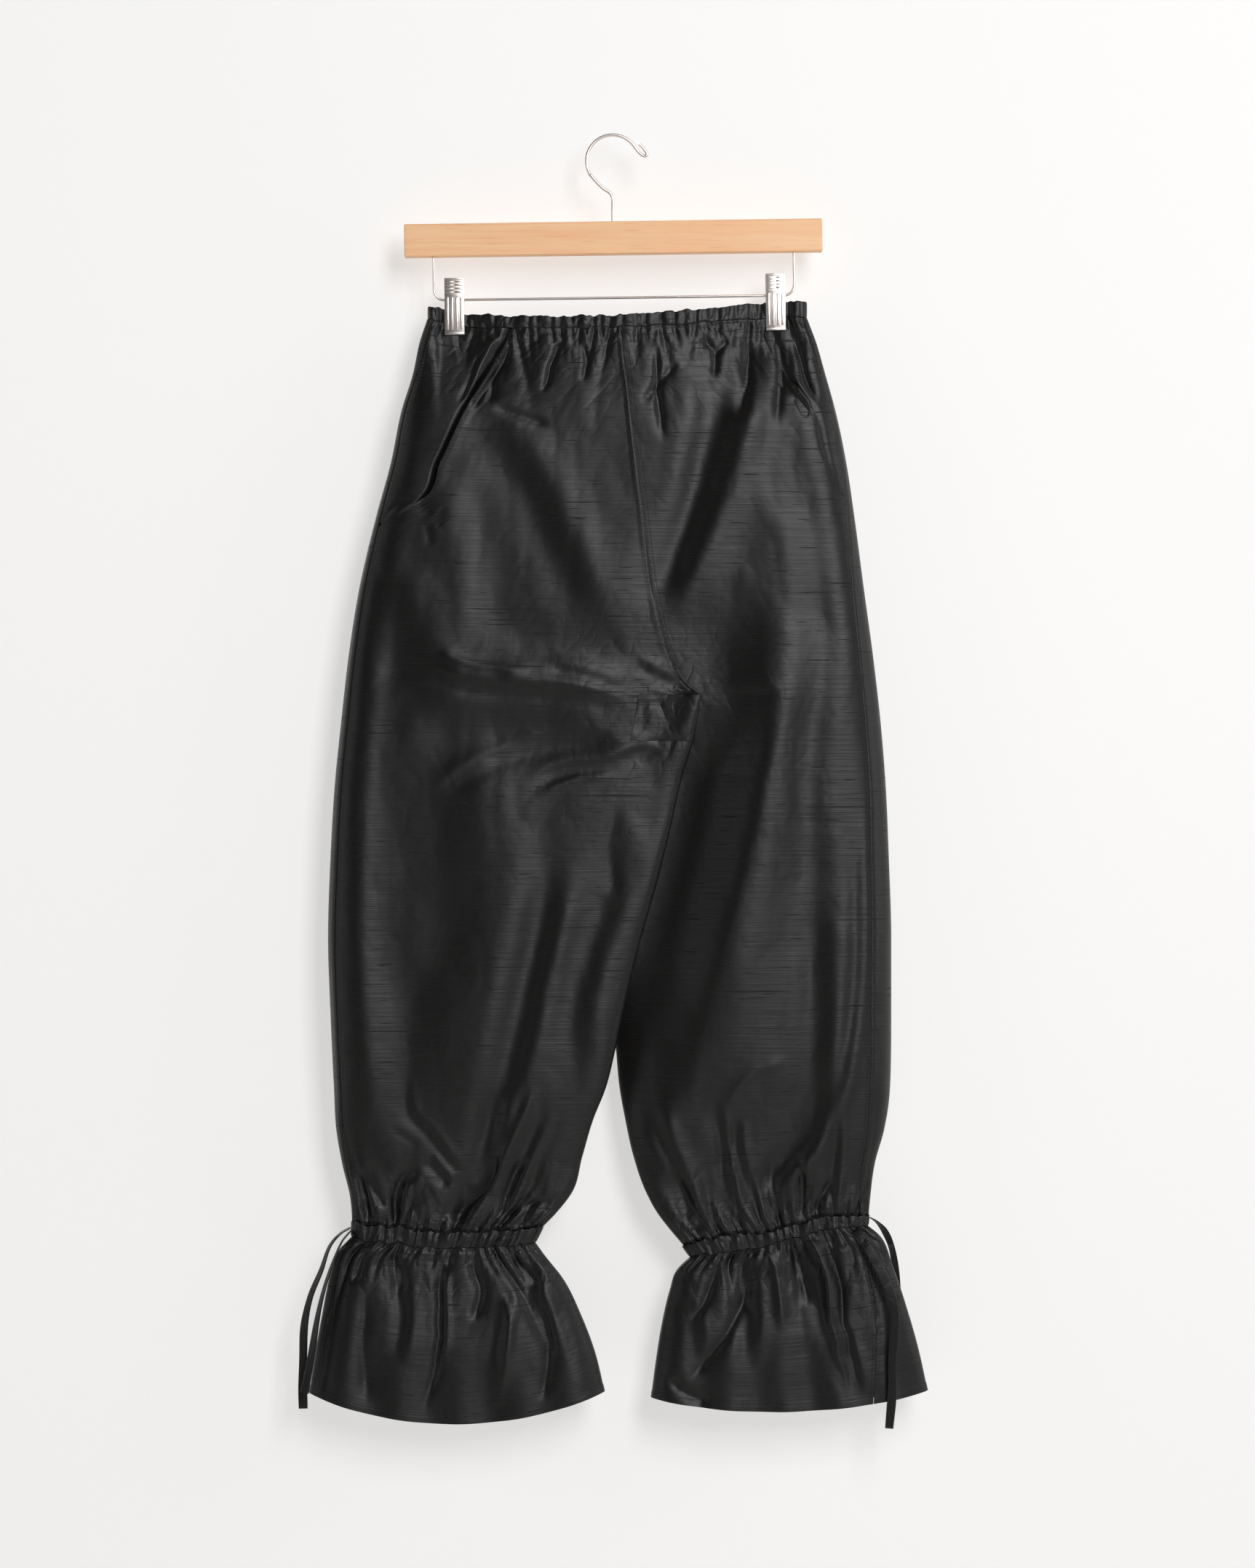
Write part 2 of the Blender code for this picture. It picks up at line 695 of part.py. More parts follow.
def back_extension_x(split, own, column, level):
    """Columns of the left leg's back below the crotch, which meet the gusset's edge."""
    gusset_start = OUTER_COLUMNS + GUSSET_COLUMNS
    edge = by_gusset(LEFT, (split + own) / 2, own, level)
    to_edge = mix(split, edge, (column - OUTER_COLUMNS) / GUSSET_COLUMNS)
    to_fold = mix(edge, own, ease(np.clip((column - gusset_start) / GUSSET_COLUMNS, 0, 1), False, True))
    return np.where(column <= gusset_start, to_edge, to_fold)


def zigzag(column, density):
    """Gathers along a row: out at one column and in at the next."""
    return np.cos(np.pi * column * density)


def panel_blocks(leg, face):
    """Column and row ranges of cloth in a panel, leaving out what the pattern cuts away."""
    levels = [row.level for row in PANEL_ROWS]
    crotch = levels.index(CROTCH_DROP)
    gusset_end = levels.index(GUSSET_BOTTOM)
    bottom = len(levels) - 1
    start = -WRAP_COLUMNS if face == BACK else 0
    last = OUTER_COLUMNS + inner_columns(leg, face)
    main = (start, OUTER_COLUMNS, 0, bottom)
    if is_tucked(leg, face):
        if leg == RIGHT:
            return [main, (OUTER_COLUMNS, last, crotch, bottom)]
        near = last - GUSSET_COLUMNS
        return [main, (OUTER_COLUMNS, near, crotch, bottom), (near, last, gusset_end, bottom)]
    if leg == RIGHT:
        return [(start, last, 0, bottom)]
    return [main, (OUTER_COLUMNS, last, 0, crotch), (OUTER_COLUMNS, last, gusset_end, bottom)]


def zip_rows(upper, lower):
    """Faces between two rows of a sheet, where one row may have twice the columns."""
    if len(upper) == len(lower):
        return [
            (upper[i], upper[i + 1], lower[i + 1], lower[i])
            for i in range(len(upper) - 1)
        ]
    if len(upper) < len(lower):
        return [tuple(reversed(face)) for face in zip_rows(lower, upper)]
    faces = []
    for i in range(len(lower) - 1):
        faces.append((upper[2 * i], upper[2 * i + 1], lower[i]))
        faces.append((upper[2 * i + 1], lower[i + 1], lower[i]))
        faces.append((upper[2 * i + 1], upper[2 * i + 2], lower[i + 1]))
    return faces


def lay_out(blocks, rows):
    """Vertex keys (row, column) and faces of a panel's blocks."""
    keys = {}
    faces = []
    for first, last, top, bottom in blocks:
        previous = None
        for row in range(top, bottom + 1):
            density = rows[row].density
            line = []
            for step in range((last - first) * density + 1):
                key = (row, first + step / density)
                line.append(keys.setdefault(key, len(keys)))
            if previous is not None:
                faces.extend(zip_rows(previous, line))
            previous = line
    return list(keys), faces


def leg_panel(leg, face):
    keys, faces = lay_out(panel_blocks(leg, face), PANEL_ROWS)
    level = np.array([PANEL_ROWS[row].level for row, _ in keys], float)
    density = np.array([PANEL_ROWS[row].density for row, _ in keys], float)
    column = np.array([column for _, column in keys], float)
    x = column_x(leg, face, column, level)
    drop = cloth_drop(leg, level, x)
    on_front = (column < 0) if face == BACK else np.ones(len(keys), bool)
    depth = np.where(on_front, cloth_depth(leg, FRONT, x, drop), cloth_depth(leg, BACK, x, drop))
    outward = np.where(
        on_front[:, None],
        cloth_normal(leg, FRONT, x, drop),
        cloth_normal(leg, BACK, x, drop),
    )
    outward = level_normal(outward, level)
    points = np.stack([x, depth, -drop], axis=-1)
    ripple = gather_fade(leg, x, drop, level) * zigzag(column, density)
    points = points + outward * ripple[:, None]
    if face == FRONT:
        points[:, 1] -= pocket_lift(leg, x, drop)
    return Sheet(points, outward, faces)


def pocket_lift(leg, x, drop):
    """The pocket's slanted edge stands away from the side piece."""
    past = toward_centre(leg) * (x - read(POCKETS, leg, drop))
    rise = smooth((drop - POCKET_GAPE_START) / POCKET_GAPE_RISE)
    fall = smooth((POCKET_GAPE_END - drop) / POCKET_GAPE_FALL)
    return POCKET_GAPE[leg] * rise * fall * np.exp(-(np.maximum(past, 0) / POCKET_GAPE_WIDTH) ** 2)


def pocket_side(leg):
    """Cloth between the side seam and the slanted pocket edge, running in under it."""
    rows = [row for row in PANEL_ROWS if row.level < POCKET_END[leg]]
    rows.append(PanelRow(POCKET_END[leg], 1))
    columns = POCKET_COLUMNS
    keys, faces = lay_out([(0, columns, 0, len(rows) - 1)], rows)
    level = np.array([rows[row].level for row, _ in keys], float)
    density = np.array([rows[row].density for row, _ in keys], float)
    column = np.array([column for _, column in keys], float)
    seam = end_x(leg, level, lambda drop: side_seam(leg, drop))
    pocket = end_x(leg, level, lambda drop: read(POCKETS, leg, drop))
    pocket = pocket + toward_centre(leg) * POCKET_UNDERLAP
    x = mix(seam, pocket, column / columns)
    drop = cloth_drop(leg, level, x)
    outward = level_normal(cloth_normal(leg, FRONT, x, drop), level)
    points = np.stack([x, cloth_depth(leg, FRONT, x, drop), -drop], axis=-1)
    under = smooth(column / columns / (1 - POCKET_UNDERLAP / np.abs(pocket - seam)))
    at_waist = np.minimum(POCKET_SINK, read(WAIST, "half_depth", x))
    sink = under * mix(at_waist, POCKET_SINK, smooth((level - PANEL_TOP) / POCKET_SINK_FADE))
    ripple = gather_fade(leg, x, drop, level) * zigzag(column, density) * (1 - under)
    points = points + outward * (ripple - sink)[:, None]
    return Sheet(points, outward, faces)


def gusset():
    """Patch at the crotch, from the left leg's front round the inner fold to its back."""
    rows = [row for row in PANEL_ROWS if CROTCH_DROP <= row.level <= GUSSET_BOTTOM]
    reach = GUSSET_COLUMNS
    keys, faces = lay_out([(-reach, reach, 0, len(rows) - 1)], rows)
    level = np.array([rows[row].level for row, _ in keys], float)
    column = np.array([column for _, column in keys], float)
    own = end_x(LEFT, level, lambda drop: inner_edge(LEFT, drop))
    away = 1 - ease(1 - np.abs(column) / reach, False, True)
    x = own - GUSSET_WIDTH * away
    drop = cloth_drop(LEFT, level, x)
    front = column <= 0
    depth = np.where(front, cloth_depth(LEFT, FRONT, x, drop), cloth_depth(LEFT, BACK, x, drop))
    outward = np.where(
        front[:, None],
        cloth_normal(LEFT, FRONT, x, drop),
        cloth_normal(LEFT, BACK, x, drop),
    )
    return Sheet(np.stack([x, depth, -drop], axis=-1), outward, faces)


# Waistband, ankle casings and ruffles

def ring_keys(columns, rows):
    """Keys and faces of a closed band of the given columns and rows."""
    keys = [(row, column) for row in range(rows) for column in range(columns)]
    faces = []
    for row in range(rows - 1):
        for column in range(columns):
            after = (column + 1) % columns
            upper, lower = row * columns, (row + 1) * columns
            faces.append((upper + column, upper + after, lower + after, lower + column))
    return keys, faces


def ring_ease(columns, column):
    """Walk round a flat ring: share of the width from its start, and the face walked on."""
    half = columns // 2
    on_front = column <= half
    along = np.where(on_front, column / half, (columns - column) / half)
    crowded = (1 - np.cos(np.pi * along)) / 2
    return mix(along, crowded, CROWDED_SHARE), on_front


def waistband():
    columns = 4 * BAND_GATHERS
    rows = 3
    keys, faces = ring_keys(columns, rows)
    row = np.array([row for row, _ in keys], float)
    column = np.array([column for _, column in keys], float)
    share, on_front = ring_ease(columns, column)
    left, right = WAIST[0].x + BAND_INSET, WAIST[-1].x - BAND_INSET
    x = mix(left, right, share)
    top, seam = read(WAIST, "top", x), read(WAIST, "seam", x) - SEAM_GAP
    drop = mix(top, seam, row / (rows - 1))
    half = read(WAIST, "half_depth", x) * edge_round(np.minimum(x - left, right - x), WAIST_ROUND)
    sign = np.where(on_front, -1.0, 1.0)
    outward = ring_normals(x, half, sign, columns)
    bulge = np.where(row == 1, BAND_BULGE, 0.0)
    ends = smooth(np.minimum(x - left, right - x) / BAND_FADE)
    ripple = (GATHER_DEPTH * np.cos(np.pi * column) + bulge) * clip_pinch(x) * ends
    points = np.stack([x, sign * half, -drop], axis=-1)
    return Sheet(points + outward * ripple[:, None], outward, faces)


def ring_normals(x, half, sign, columns):
    """Outward directions round each row of a ring."""
    places = np.stack([x, sign * half], axis=-1).reshape(-1, columns, 2)
    along = np.roll(places, -1, axis=1) - np.roll(places, 1, axis=1)
    turned = unit(np.stack([along[..., 1], -along[..., 0]], axis=-1)).reshape(-1, 2)
    return np.stack([turned[:, 0], turned[:, 1], np.zeros(len(turned))], axis=-1)


def ankle_casing(leg):
    columns = 4 * CASING_GATHERS
    rows = 2
    keys, faces = ring_keys(columns, rows)
    row = np.array([row for row, _ in keys], float)
    column = np.array([column for _, column in keys], float)
    share, on_front = ring_ease(columns, column)
    top, bottom = read(ANKLES, leg + "_top", share), read(ANKLES, leg + "_bottom", share)
    drop = mix(top + SEAM_GAP, bottom - SEAM_GAP, row)
    outer, inner = ankle_ends(leg)
    first = RUFFLES[leg][0]
    x = mix(mix(outer, inner, share), mix(first.outer_x, first.inner_x, share), row)
    half = ankle_half(share, abs(inner - outer))
    sign = np.where(on_front, -1.0, 1.0)
    outward = ring_normals(x, half, sign, columns)
    if leg == RIGHT:
        outward = -outward
    ends = smooth(np.minimum(share, 1 - share) * abs(inner - outer) / CASING_FADE)
    ripple = ANKLE_GATHER_DEPTH * np.cos(np.pi * column) * ends
    points = np.stack([x, TUBE_MIDDLE + sign * half, -drop], axis=-1)
    return Sheet(points + outward * ripple[:, None], outward, faces)


def ankle_half(share, width):
    """Half the depth of the gathered ankle across its width."""
    edges = edge_round(share * width, ANKLE_ROUND) * edge_round((1 - share) * width, ANKLE_ROUND)
    return HALF_DEPTH * ANKLE_HALF_SHARE * edges


RUFFLE_LEVELS = [
    PanelRow(0.0, 2),
    PanelRow(0.12, 2),
    PanelRow(0.32, 1),
    PanelRow(0.62, 1),
    PanelRow(1.0, 1),
]
RUFFLE_COLUMNS = 20


def ruffle_point(leg, face, share, down):
    """Point and outward direction on a ruffle at a share of its width and length."""
    rows = RUFFLES[leg]
    outer = np.stack([read(rows, "outer_x", down), read(rows, "outer_drop", down)])
    inner = np.stack([read(rows, "inner_x", down), read(rows, "inner_drop", down)])
    place = mix(outer, inner, share)
    seam = read(ANKLES, leg + "_bottom", share) - mix(rows[0].outer_drop, rows[0].inner_drop, share)
    belly = 4 * share * (1 - share)
    drop = place[1] + mix(seam, read(rows, "sag", down) * belly, smooth(down / RUFFLE_SAG_LENGTH))
    width = np.abs(inner[0] - outer[0])
    flare = edge_round(share * width, RUFFLE_ROUND) * edge_round((1 - share) * width, RUFFLE_ROUND)
    half = mix(ankle_half(share, width), RUFFLE_HALF_DEPTH * flare, smooth(down / RUFFLE_OPEN_LENGTH))
    turn = 2 * np.pi * RUFFLE_WAVES * share + RUFFLE_WAVE_START
    wave = RUFFLE_WAVE_DEPTH * smooth(down) * flare * np.sin(turn)
    sign = -1 if face == FRONT else 1
    return np.stack([place[0], TUBE_MIDDLE + sign * half + wave, -drop], axis=-1)


def ruffle_normal(leg, face, share, down):
    step = RUFFLE_SLOPE_STEP
    aside = np.where(share < 0.5, step, -step)
    here = ruffle_point(leg, face, share, down)
    across = (ruffle_point(leg, face, share + aside, down) - here) / aside[:, None]
    lower = np.where(down < 0.5, step, -step)
    along = (ruffle_point(leg, face, share, down + lower) - here) / lower[:, None]
    outward = unit(np.cross(across, along))
    towards = outward[:, 1] * (-1 if face == FRONT else 1)
    middle = np.abs(share - 0.5) < 0.45
    flip = np.sign(np.sum(np.where(middle, towards, 0)))
    return outward * flip


def ruffle(leg, face):
    wrap = WRAP_COLUMNS if face == BACK else 0
    keys, faces = lay_out([(-wrap, RUFFLE_COLUMNS, 0, len(RUFFLE_LEVELS) - 1)], RUFFLE_LEVELS)
    down = np.array([RUFFLE_LEVELS[row].level for row, _ in keys], float)
    density = np.array([RUFFLE_LEVELS[row].density for row, _ in keys], float)
    column = np.array([column for _, column in keys], float)
    seam_top, seam_hem = RUFFLE_SEAM_SHARE[leg]
    seam = mix(seam_top, seam_hem, down)
    even = column / RUFFLE_COLUMNS
    share = mix(even, ease(np.clip(even, 0, 1), True, True), CROWDED_SHARE)
    on_front = np.ones(len(keys), bool)
    if face == FRONT:
        share = mix(seam, 1, share)
    else:
        on_front = column < 0
        share = np.where(on_front, seam * (column / WRAP_COLUMNS) ** 2, share)
    points = np.where(
        on_front[:, None],
        ruffle_point(leg, FRONT, share, down),
        ruffle_point(leg, BACK, share, down),
    )
    outward = np.where(
        on_front[:, None],
        ruffle_normal(leg, FRONT, share, down),
        ruffle_normal(leg, BACK, share, down),
    )
    seam_share = smooth(1 - down / RUFFLE_LEVEL_LENGTH)
    outward = unit(outward * np.stack([np.ones_like(down), np.ones_like(down), 1 - seam_share], axis=-1))
    width = np.abs(RUFFLES[leg][0].inner_x - RUFFLES[leg][0].outer_x)
    ends = smooth(share * width / FOLD_FADE) * smooth((1 - share) * width / FOLD_FADE)
    ripple = ANKLE_GATHER_DEPTH * smooth(1 - down / RUFFLE_GATHER_LENGTH) * zigzag(column, density) * ends
    return Sheet(points + outward * ripple[:, None], outward, faces)


# Turning sheets into solids

def border_edges(faces):
    """Directed edges that only one face uses."""
    used = {}
    for face in faces:
        for start, end in zip(face, face[1:] + face[:1]):
            used[(start, end)] = True
    return [edge for edge in used if (edge[1], edge[0]) not in used]


def drawn_in(sheet, distance):
    """The sheet's points with its border moved inward along the cloth."""
    points = sheet.points.copy()
    inward = {}
    for start, end in border_edges(sheet.faces):
        along = points[end] - points[start]
        facing = unit(sheet.normals[start] + sheet.normals[end])
        across = unit(np.cross(facing, along))
        for index in (start, end):
            inward.setdefault(index, []).append(across)
    for index, pushes in inward.items():
        if len(pushes) == 1:
            total = pushes[0]
        else:
            total = (pushes[0] + pushes[1]) / max(1 + float(np.dot(pushes[0], pushes[1])), 0.4)
        points[index] = points[index] + total * distance
    return points


def faces_outward(sheet):
    """The sheet's faces, turned so that they look along its normals."""
    face = sheet.faces[len(sheet.faces) // 2]
    a, b, c = (sheet.points[index] for index in face[:3])
    looks = np.dot(np.cross(b - a, c - a), sheet.normals[face[0]])
    if looks > 0:
        return sheet.faces
    return [tuple(reversed(face)) for face in sheet.faces]


def in_triangles(points, faces):
    """Every four-sided face split along its shorter diagonal."""
    triangles = []
    for face in faces:
        if len(face) == 3:
            triangles.append(face)
            continue
        a, b, c, d = face
        if np.linalg.norm(points[a] - points[c]) <= np.linalg.norm(points[b] - points[d]):
            triangles += [(a, b, c), (a, c, d)]
        else:
            triangles += [(a, b, d), (b, c, d)]
    return triangles


def cloth_solid(name, sheet, wall, finish):
    """Closed wall of cloth: an outer and an inner skin joined round the border."""
    sheet = sheet._replace(faces=in_triangles(sheet.points, faces_outward(sheet)))
    points = drawn_in(sheet, SEAM_GAP / 2)
    outer = points + sheet.normals * wall / 2
    inner = points - sheet.normals * wall / 2
    count = len(points)
    corners = np.concatenate([outer, inner])
    border = [(end, start, start + count, end + count) for start, end in border_edges(sheet.faces)]
    faces = list(sheet.faces)
    faces += [tuple(index + count for index in reversed(face)) for face in sheet.faces]
    faces += in_triangles(corners, border)
    vertices = [tuple(point * MM) for point in corners]
    return add_mesh(name, vertices, faces, finish)


def add_mesh(name, vertices, faces, finish):
    mesh = bpy.data.meshes.new(name)
    mesh.from_pydata(vertices, [], faces)
    mesh.validate()
    mesh.update()
    mesh.shade_smooth()
    mesh.set_sharp_from_angle(angle=math.radians(40))
    obj = bpy.data.objects.new(name, mesh)
    bpy.context.collection.objects.link(obj)
    paint(obj, finish)
    return obj


def paint(obj, finish):
    material = bpy.data.materials.new(obj.name)
    material.use_nodes = True
    shader = material.node_tree.nodes["Principled BSDF"]
    shader.inputs["Base Color"].default_value = finish.colour
    shader.inputs["Roughness"].default_value = finish.roughness
    shader.inputs["Metallic"].default_value = finish.metallic
    obj.data.materials.append(material)


# Drawstring ends

def tie(name, rows):
    """Flat strip swept along its route; turn is its twist away from facing the viewer."""
    sections = []
    route = [Vector((row.x, row.y, -row.drop)) for row in rows]
    for index, row in enumerate(rows):
        before, after = route[max(index - 1, 0)], route[min(index + 1, len(route) - 1)]
        along = (after - before).normalized()
        flat = Vector((0, -1, 0)).cross(along).normalized()
        angle = math.radians(row.turn)
        across = (flat * math.cos(angle) + Vector((0, -1, 0)) * math.sin(angle)).normalized()
        facing = along.cross(across).normalized()
        half_width, half_thick = across * TIE_WIDTH / 2, facing * TIE_THICKNESS / 2
        corners = (half_width + half_thick, half_width - half_thick, -half_width - half_thick, half_thick - half_width)
        sections.append([route[index] + corner for corner in corners])
    vertices = [tuple(point * MM) for section in sections for point in section]
    faces = [(0, 1, 2, 3)]
    for index in range(len(sections) - 1):
        base = 4 * index
        for corner in range(4):
            following = (corner + 1) % 4
            faces.append((base + corner, base + 4 + corner, base + 4 + following, base + following))
    end = 4 * (len(sections) - 1)
    faces.append((end + 3, end + 2, end + 1, end))
    return add_mesh(name, vertices, outward_faces(vertices, faces), SILK)


def outward_faces(vertices, faces):
    """Faces of a closed mesh, all reversed if it is inside out."""
    volume = 0.0
    for face in faces:
        first = Vector(vertices[face[0]])
        for second, third in zip(face[1:], face[2:]):
            volume += first.dot(Vector(vertices[second]).cross(Vector(vertices[third])))
    if volume > 0:
        return faces
    return [tuple(reversed(face)) for face in faces]


# Hanger

def hanger_frame():
    """Empty that carries the bar, the rail and the clips, tilted as they hang."""
    frame = bpy.data.objects.new("hanger_frame", None)
    frame.location = (BAR_SHIFT * MM, 0, -BAR_DROP * MM)
    frame.rotation_euler = (0, -math.radians(HANGER_TILT), 0)
    bpy.context.collection.objects.link(frame)
    return frame


def hanger_bar(frame):
    mesh = bpy.data.meshes.new("hanger_bar")
    shape = bmesh.new()
    bmesh.ops.create_cube(shape, size=1)
    bmesh.ops.scale(shape, verts=shape.verts, vec=(BAR_LENGTH * MM, BAR_THICKNESS * MM, BAR_HEIGHT * MM))
    bmesh.ops.bevel(
        shape,
        geom=shape.edges[:],
        offset=BAR_BEVEL * MM,
        segments=2,
        profile=0.5,
        affect="EDGES",
    )
    shape.to_mesh(mesh)
    shape.free()
    bar = bpy.data.objects.new("hanger_bar", mesh)
    bpy.context.collection.objects.link(bar)
    bar.parent = frame
    paint(bar, WOOD)
    return bar


def wire(name, route, radius, sides, parent=None):
    """Round wire along a route of points, with flat ends."""
    curve = bpy.data.curves.new(name, "CURVE")
    curve.dimensions = "3D"
    curve.bevel_depth = radius * MM
    curve.bevel_resolution = sides
    curve.use_fill_caps = True
    curve.resolution_u = 1
    curve.render_resolution_u = 0
    spline = curve.splines.new("POLY")
    spline.points.add(len(route) - 1)
    for point, place in zip(spline.points, route):
        point.co = (place[0] * MM, place[1] * MM, place[2] * MM, 1)
    obj = bpy.data.objects.new(name, curve)
    bpy.context.collection.objects.link(obj)
    obj.parent = parent
    paint(obj, CHROME)
    return obj


def arc(centre, radius, start, end, steps):
    """Points of an arc in the hanger's plane; angles in degrees from +X towards +Z."""
    points = []
    for step in range(steps + 1):
        angle = math.radians(mix(start, end, step / steps))
        points.append((centre[0] + radius * math.cos(angle), 0, centre[1] + radius * math.sin(angle)))
    return points


def hanger_hook():
    """Stem, slanted neck, round hook over the nail and a folded-back tip."""
    centre = (0, HOOK_WIRE_RADIUS - HOOK_RADIUS)
    stem_foot = -(BAR_DROP - BAR_HEIGHT / 2 - SEAT_GAP)
    route = [(0, 0, stem_foot)] + [(point.x, 0, point.z) for point in HOOK_NECK]
    route += arc(centre, HOOK_RADIUS, HOOK_TURN_START, HOOK_TURN_END, HOOK_STEPS)
    route += [(point.x, 0, point.z) for point in HOOK_TIP]
    return wire("hanger_hook", route, HOOK_WIRE_RADIUS, 2)


def hanger_rail(frame):
    """Wire rail below the bar, with rounded corners."""
    top = -BAR_HEIGHT / 2 - SEAT_GAP
    low = -(RAIL_DROP - BAR_DROP)
    left = arc((-RAIL_HALF_LENGTH + RAIL_CORNER, low + RAIL_CORNER), RAIL_CORNER, 180, 270, RAIL_CORNER_STEPS)
    right = arc((RAIL_HALF_LENGTH - RAIL_CORNER, low + RAIL_CORNER), RAIL_CORNER, 270, 360, RAIL_CORNER_STEPS)
    route = [(-RAIL_HALF_LENGTH, 0, top)] + left + right + [(RAIL_HALF_LENGTH, 0, top)]
    return wire("hanger_rail", route, RAIL_WIRE_RADIUS, 2, frame)


def relief_plate(columns, rows, raised, base, relief):
    """Plate in the XZ plane with raised cells on its -Y face."""
    wide, tall = len(columns), len(rows)
    vertices = [(x, -base, z) for z in rows for x in columns]
    faces = []
    for row in range(tall - 1):
        for column in range(wide - 1):
            corner = row * wide + column
            cell = (corner, corner + 1, corner + wide + 1, corner + wide)
            if not raised(column, row):
                faces.append(cell)
                continue
            start = len(vertices)
            vertices += [(vertices[index][0], -base - relief, vertices[index][2]) for index in cell]
            lifted = (start, start + 1, start + 2, start + 3)
            faces.append(lifted)
            for side_index in range(4):
                after = (side_index + 1) % 4
                faces.append((cell[side_index], cell[after], lifted[after], lifted[side_index]))
    rim = list(range(wide)) + [row * wide + wide - 1 for row in range(1, tall)]
    rim += [(tall - 1) * wide + column for column in range(wide - 2, -1, -1)]
    rim += [row * wide for row in range(tall - 2, 0, -1)]
    start = len(vertices)
    vertices += [(vertices[index][0], 0, vertices[index][2]) for index in rim]
    count = len(rim)
    for step in range(count):
        after = (step + 1) % count
        faces.append((rim[after], rim[step], start + step, start + after))
    faces.append(tuple(start + step for step in reversed(range(count))))
    return vertices, faces


def clip_jaw(name, centre, frame, facing):
    """Metal jaw: bars of raised pads above, four raised ribs below; facing is -1 or 1."""
    half = CLIP_WIDTH / 2
    columns = [-half] + [-edge for edge in reversed(CLIP_RIB_EDGES)] + CLIP_RIB_EDGES + [half]
    rows = CLIP_PAD_EDGES + [CLIP_HEIGHT]
    ribs = (1, 3, 5, 7)
    pads = (3, 5, 7, 9)
    feet = (2, 6)

    def raised(column, row):
        if row == 2:
            return column in ribs
        return row - 1 in pads and column in ribs or row == 0 and column in feet

    def kept(column, row):
        return raised(column, row) if facing < 0 else row == 2 and column in ribs

    vertices, faces = relief_plate(columns, rows, kept, CLIP_PLATE, CLIP_RELIEF)
    foot = -(RAIL_DROP - BAR_DROP) + CLIP_TOP_ABOVE_RAIL - CLIP_HEIGHT
    placed = []
    for x, y, z in vertices:
        depth = y - CLIP_INNER_FACE
        placed.append(((x * -facing + centre) * MM, -facing * depth * MM, (z + foot) * MM))
    jaw = add_mesh(name, placed, outward_faces(placed, faces), CHROME)
    jaw.parent = frame
    return jaw


def clip_barrel(name, centre, frame):
    """Barrel between the jaws, sliding on the rail."""
    sides = BARREL_SIDES
    inner = RAIL_WIRE_RADIUS + SEAT_GAP
    half = BARREL_HALF_LENGTH
    low = -(RAIL_DROP - BAR_DROP)
    vertices = []
    for x, radius in ((-half, BARREL_RADIUS), (half, BARREL_RADIUS), (half, inner), (-half, inner)):
        for step in range(sides):
            angle = 2 * math.pi * (step + 0.5) / sides
            place = (x + centre, radius * math.cos(angle), radius * math.sin(angle) + low)
            vertices.append(tuple(value * MM for value in place))
    faces = []
    for ring in range(4):
        following = (ring + 1) % 4
        for step in range(sides):
            after = (step + 1) % sides
            faces.append((
                ring * sides + step,
                ring * sides + after,
                following * sides + after,
                following * sides + step,
            ))
    barrel = add_mesh(name, vertices, outward_faces(vertices, faces), CHROME)
    barrel.parent = frame
    return barrel


def build_hanger():
    frame = hanger_frame()
    hanger_bar(frame)
    hanger_hook()
    hanger_rail(frame)
    for leg, centre in zip((LEFT, RIGHT), CLIP_X):
        place = centre - BAR_SHIFT
        clip_jaw("clip_" + leg + "_front", place, frame, -1)
        clip_jaw("clip_" + leg + "_back", place, frame, 1)
        clip_barrel("clip_" + leg + "_barrel", place, frame)


def build_trousers():
    for leg in (LEFT, RIGHT):
        for face in (FRONT, BACK):
            cloth_solid(face + "_" + leg + "_leg", leg_panel(leg, face), CLOTH_WALL, SILK)
            cloth_solid("ruffle_" + face + "_" + leg, ruffle(leg, face), CLOTH_WALL, SILK)
        cloth_solid("pocket_side_" + leg, pocket_side(leg), CLOTH_WALL, SILK)
        cloth_solid("ankle_casing_" + leg, ankle_casing(leg), BAND_WALL, SILK)
    cloth_solid("crotch_gusset", gusset(), CLOTH_WALL, SILK)
    cloth_solid("waistband", waistband(), BAND_WALL, SILK)
    for name, rows in TIES.items():
        tie(name, rows)


def clear_scene():
    for obj in list(bpy.data.objects):
        bpy.data.objects.remove(obj, do_unlink=True)


def main():
    clear_scene()
    build_hanger()
    build_trousers()


main()
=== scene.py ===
"""Looks of the black silk trousers on their clip hanger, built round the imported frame.

Sizes are in millimetres until a mesh is made. The origin is where the hook's wire rests on its nail:
+X is the viewer's right, +Z is up and the viewer stands on the -Y side.
A "drop" is a distance below the origin, so z = -drop. "left" and "right" are the viewer's.
The tables of the outline and of the largest folds are the same as in the part's source.
"""

import math
from collections import namedtuple

import bmesh
import bpy
import numpy as np
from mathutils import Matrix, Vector


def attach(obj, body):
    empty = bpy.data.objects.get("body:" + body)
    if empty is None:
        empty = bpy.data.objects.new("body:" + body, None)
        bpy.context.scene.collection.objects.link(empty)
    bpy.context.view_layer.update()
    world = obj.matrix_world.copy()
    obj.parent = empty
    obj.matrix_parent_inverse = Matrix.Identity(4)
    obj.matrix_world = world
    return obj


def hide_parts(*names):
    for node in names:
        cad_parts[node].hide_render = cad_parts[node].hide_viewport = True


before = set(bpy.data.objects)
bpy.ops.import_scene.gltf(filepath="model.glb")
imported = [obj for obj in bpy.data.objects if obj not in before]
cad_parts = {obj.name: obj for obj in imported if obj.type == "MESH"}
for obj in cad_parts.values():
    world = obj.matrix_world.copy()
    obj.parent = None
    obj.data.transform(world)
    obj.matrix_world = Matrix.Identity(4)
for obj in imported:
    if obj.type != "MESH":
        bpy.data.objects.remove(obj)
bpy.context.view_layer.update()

MM = 0.001
LEFT, RIGHT = "left", "right"
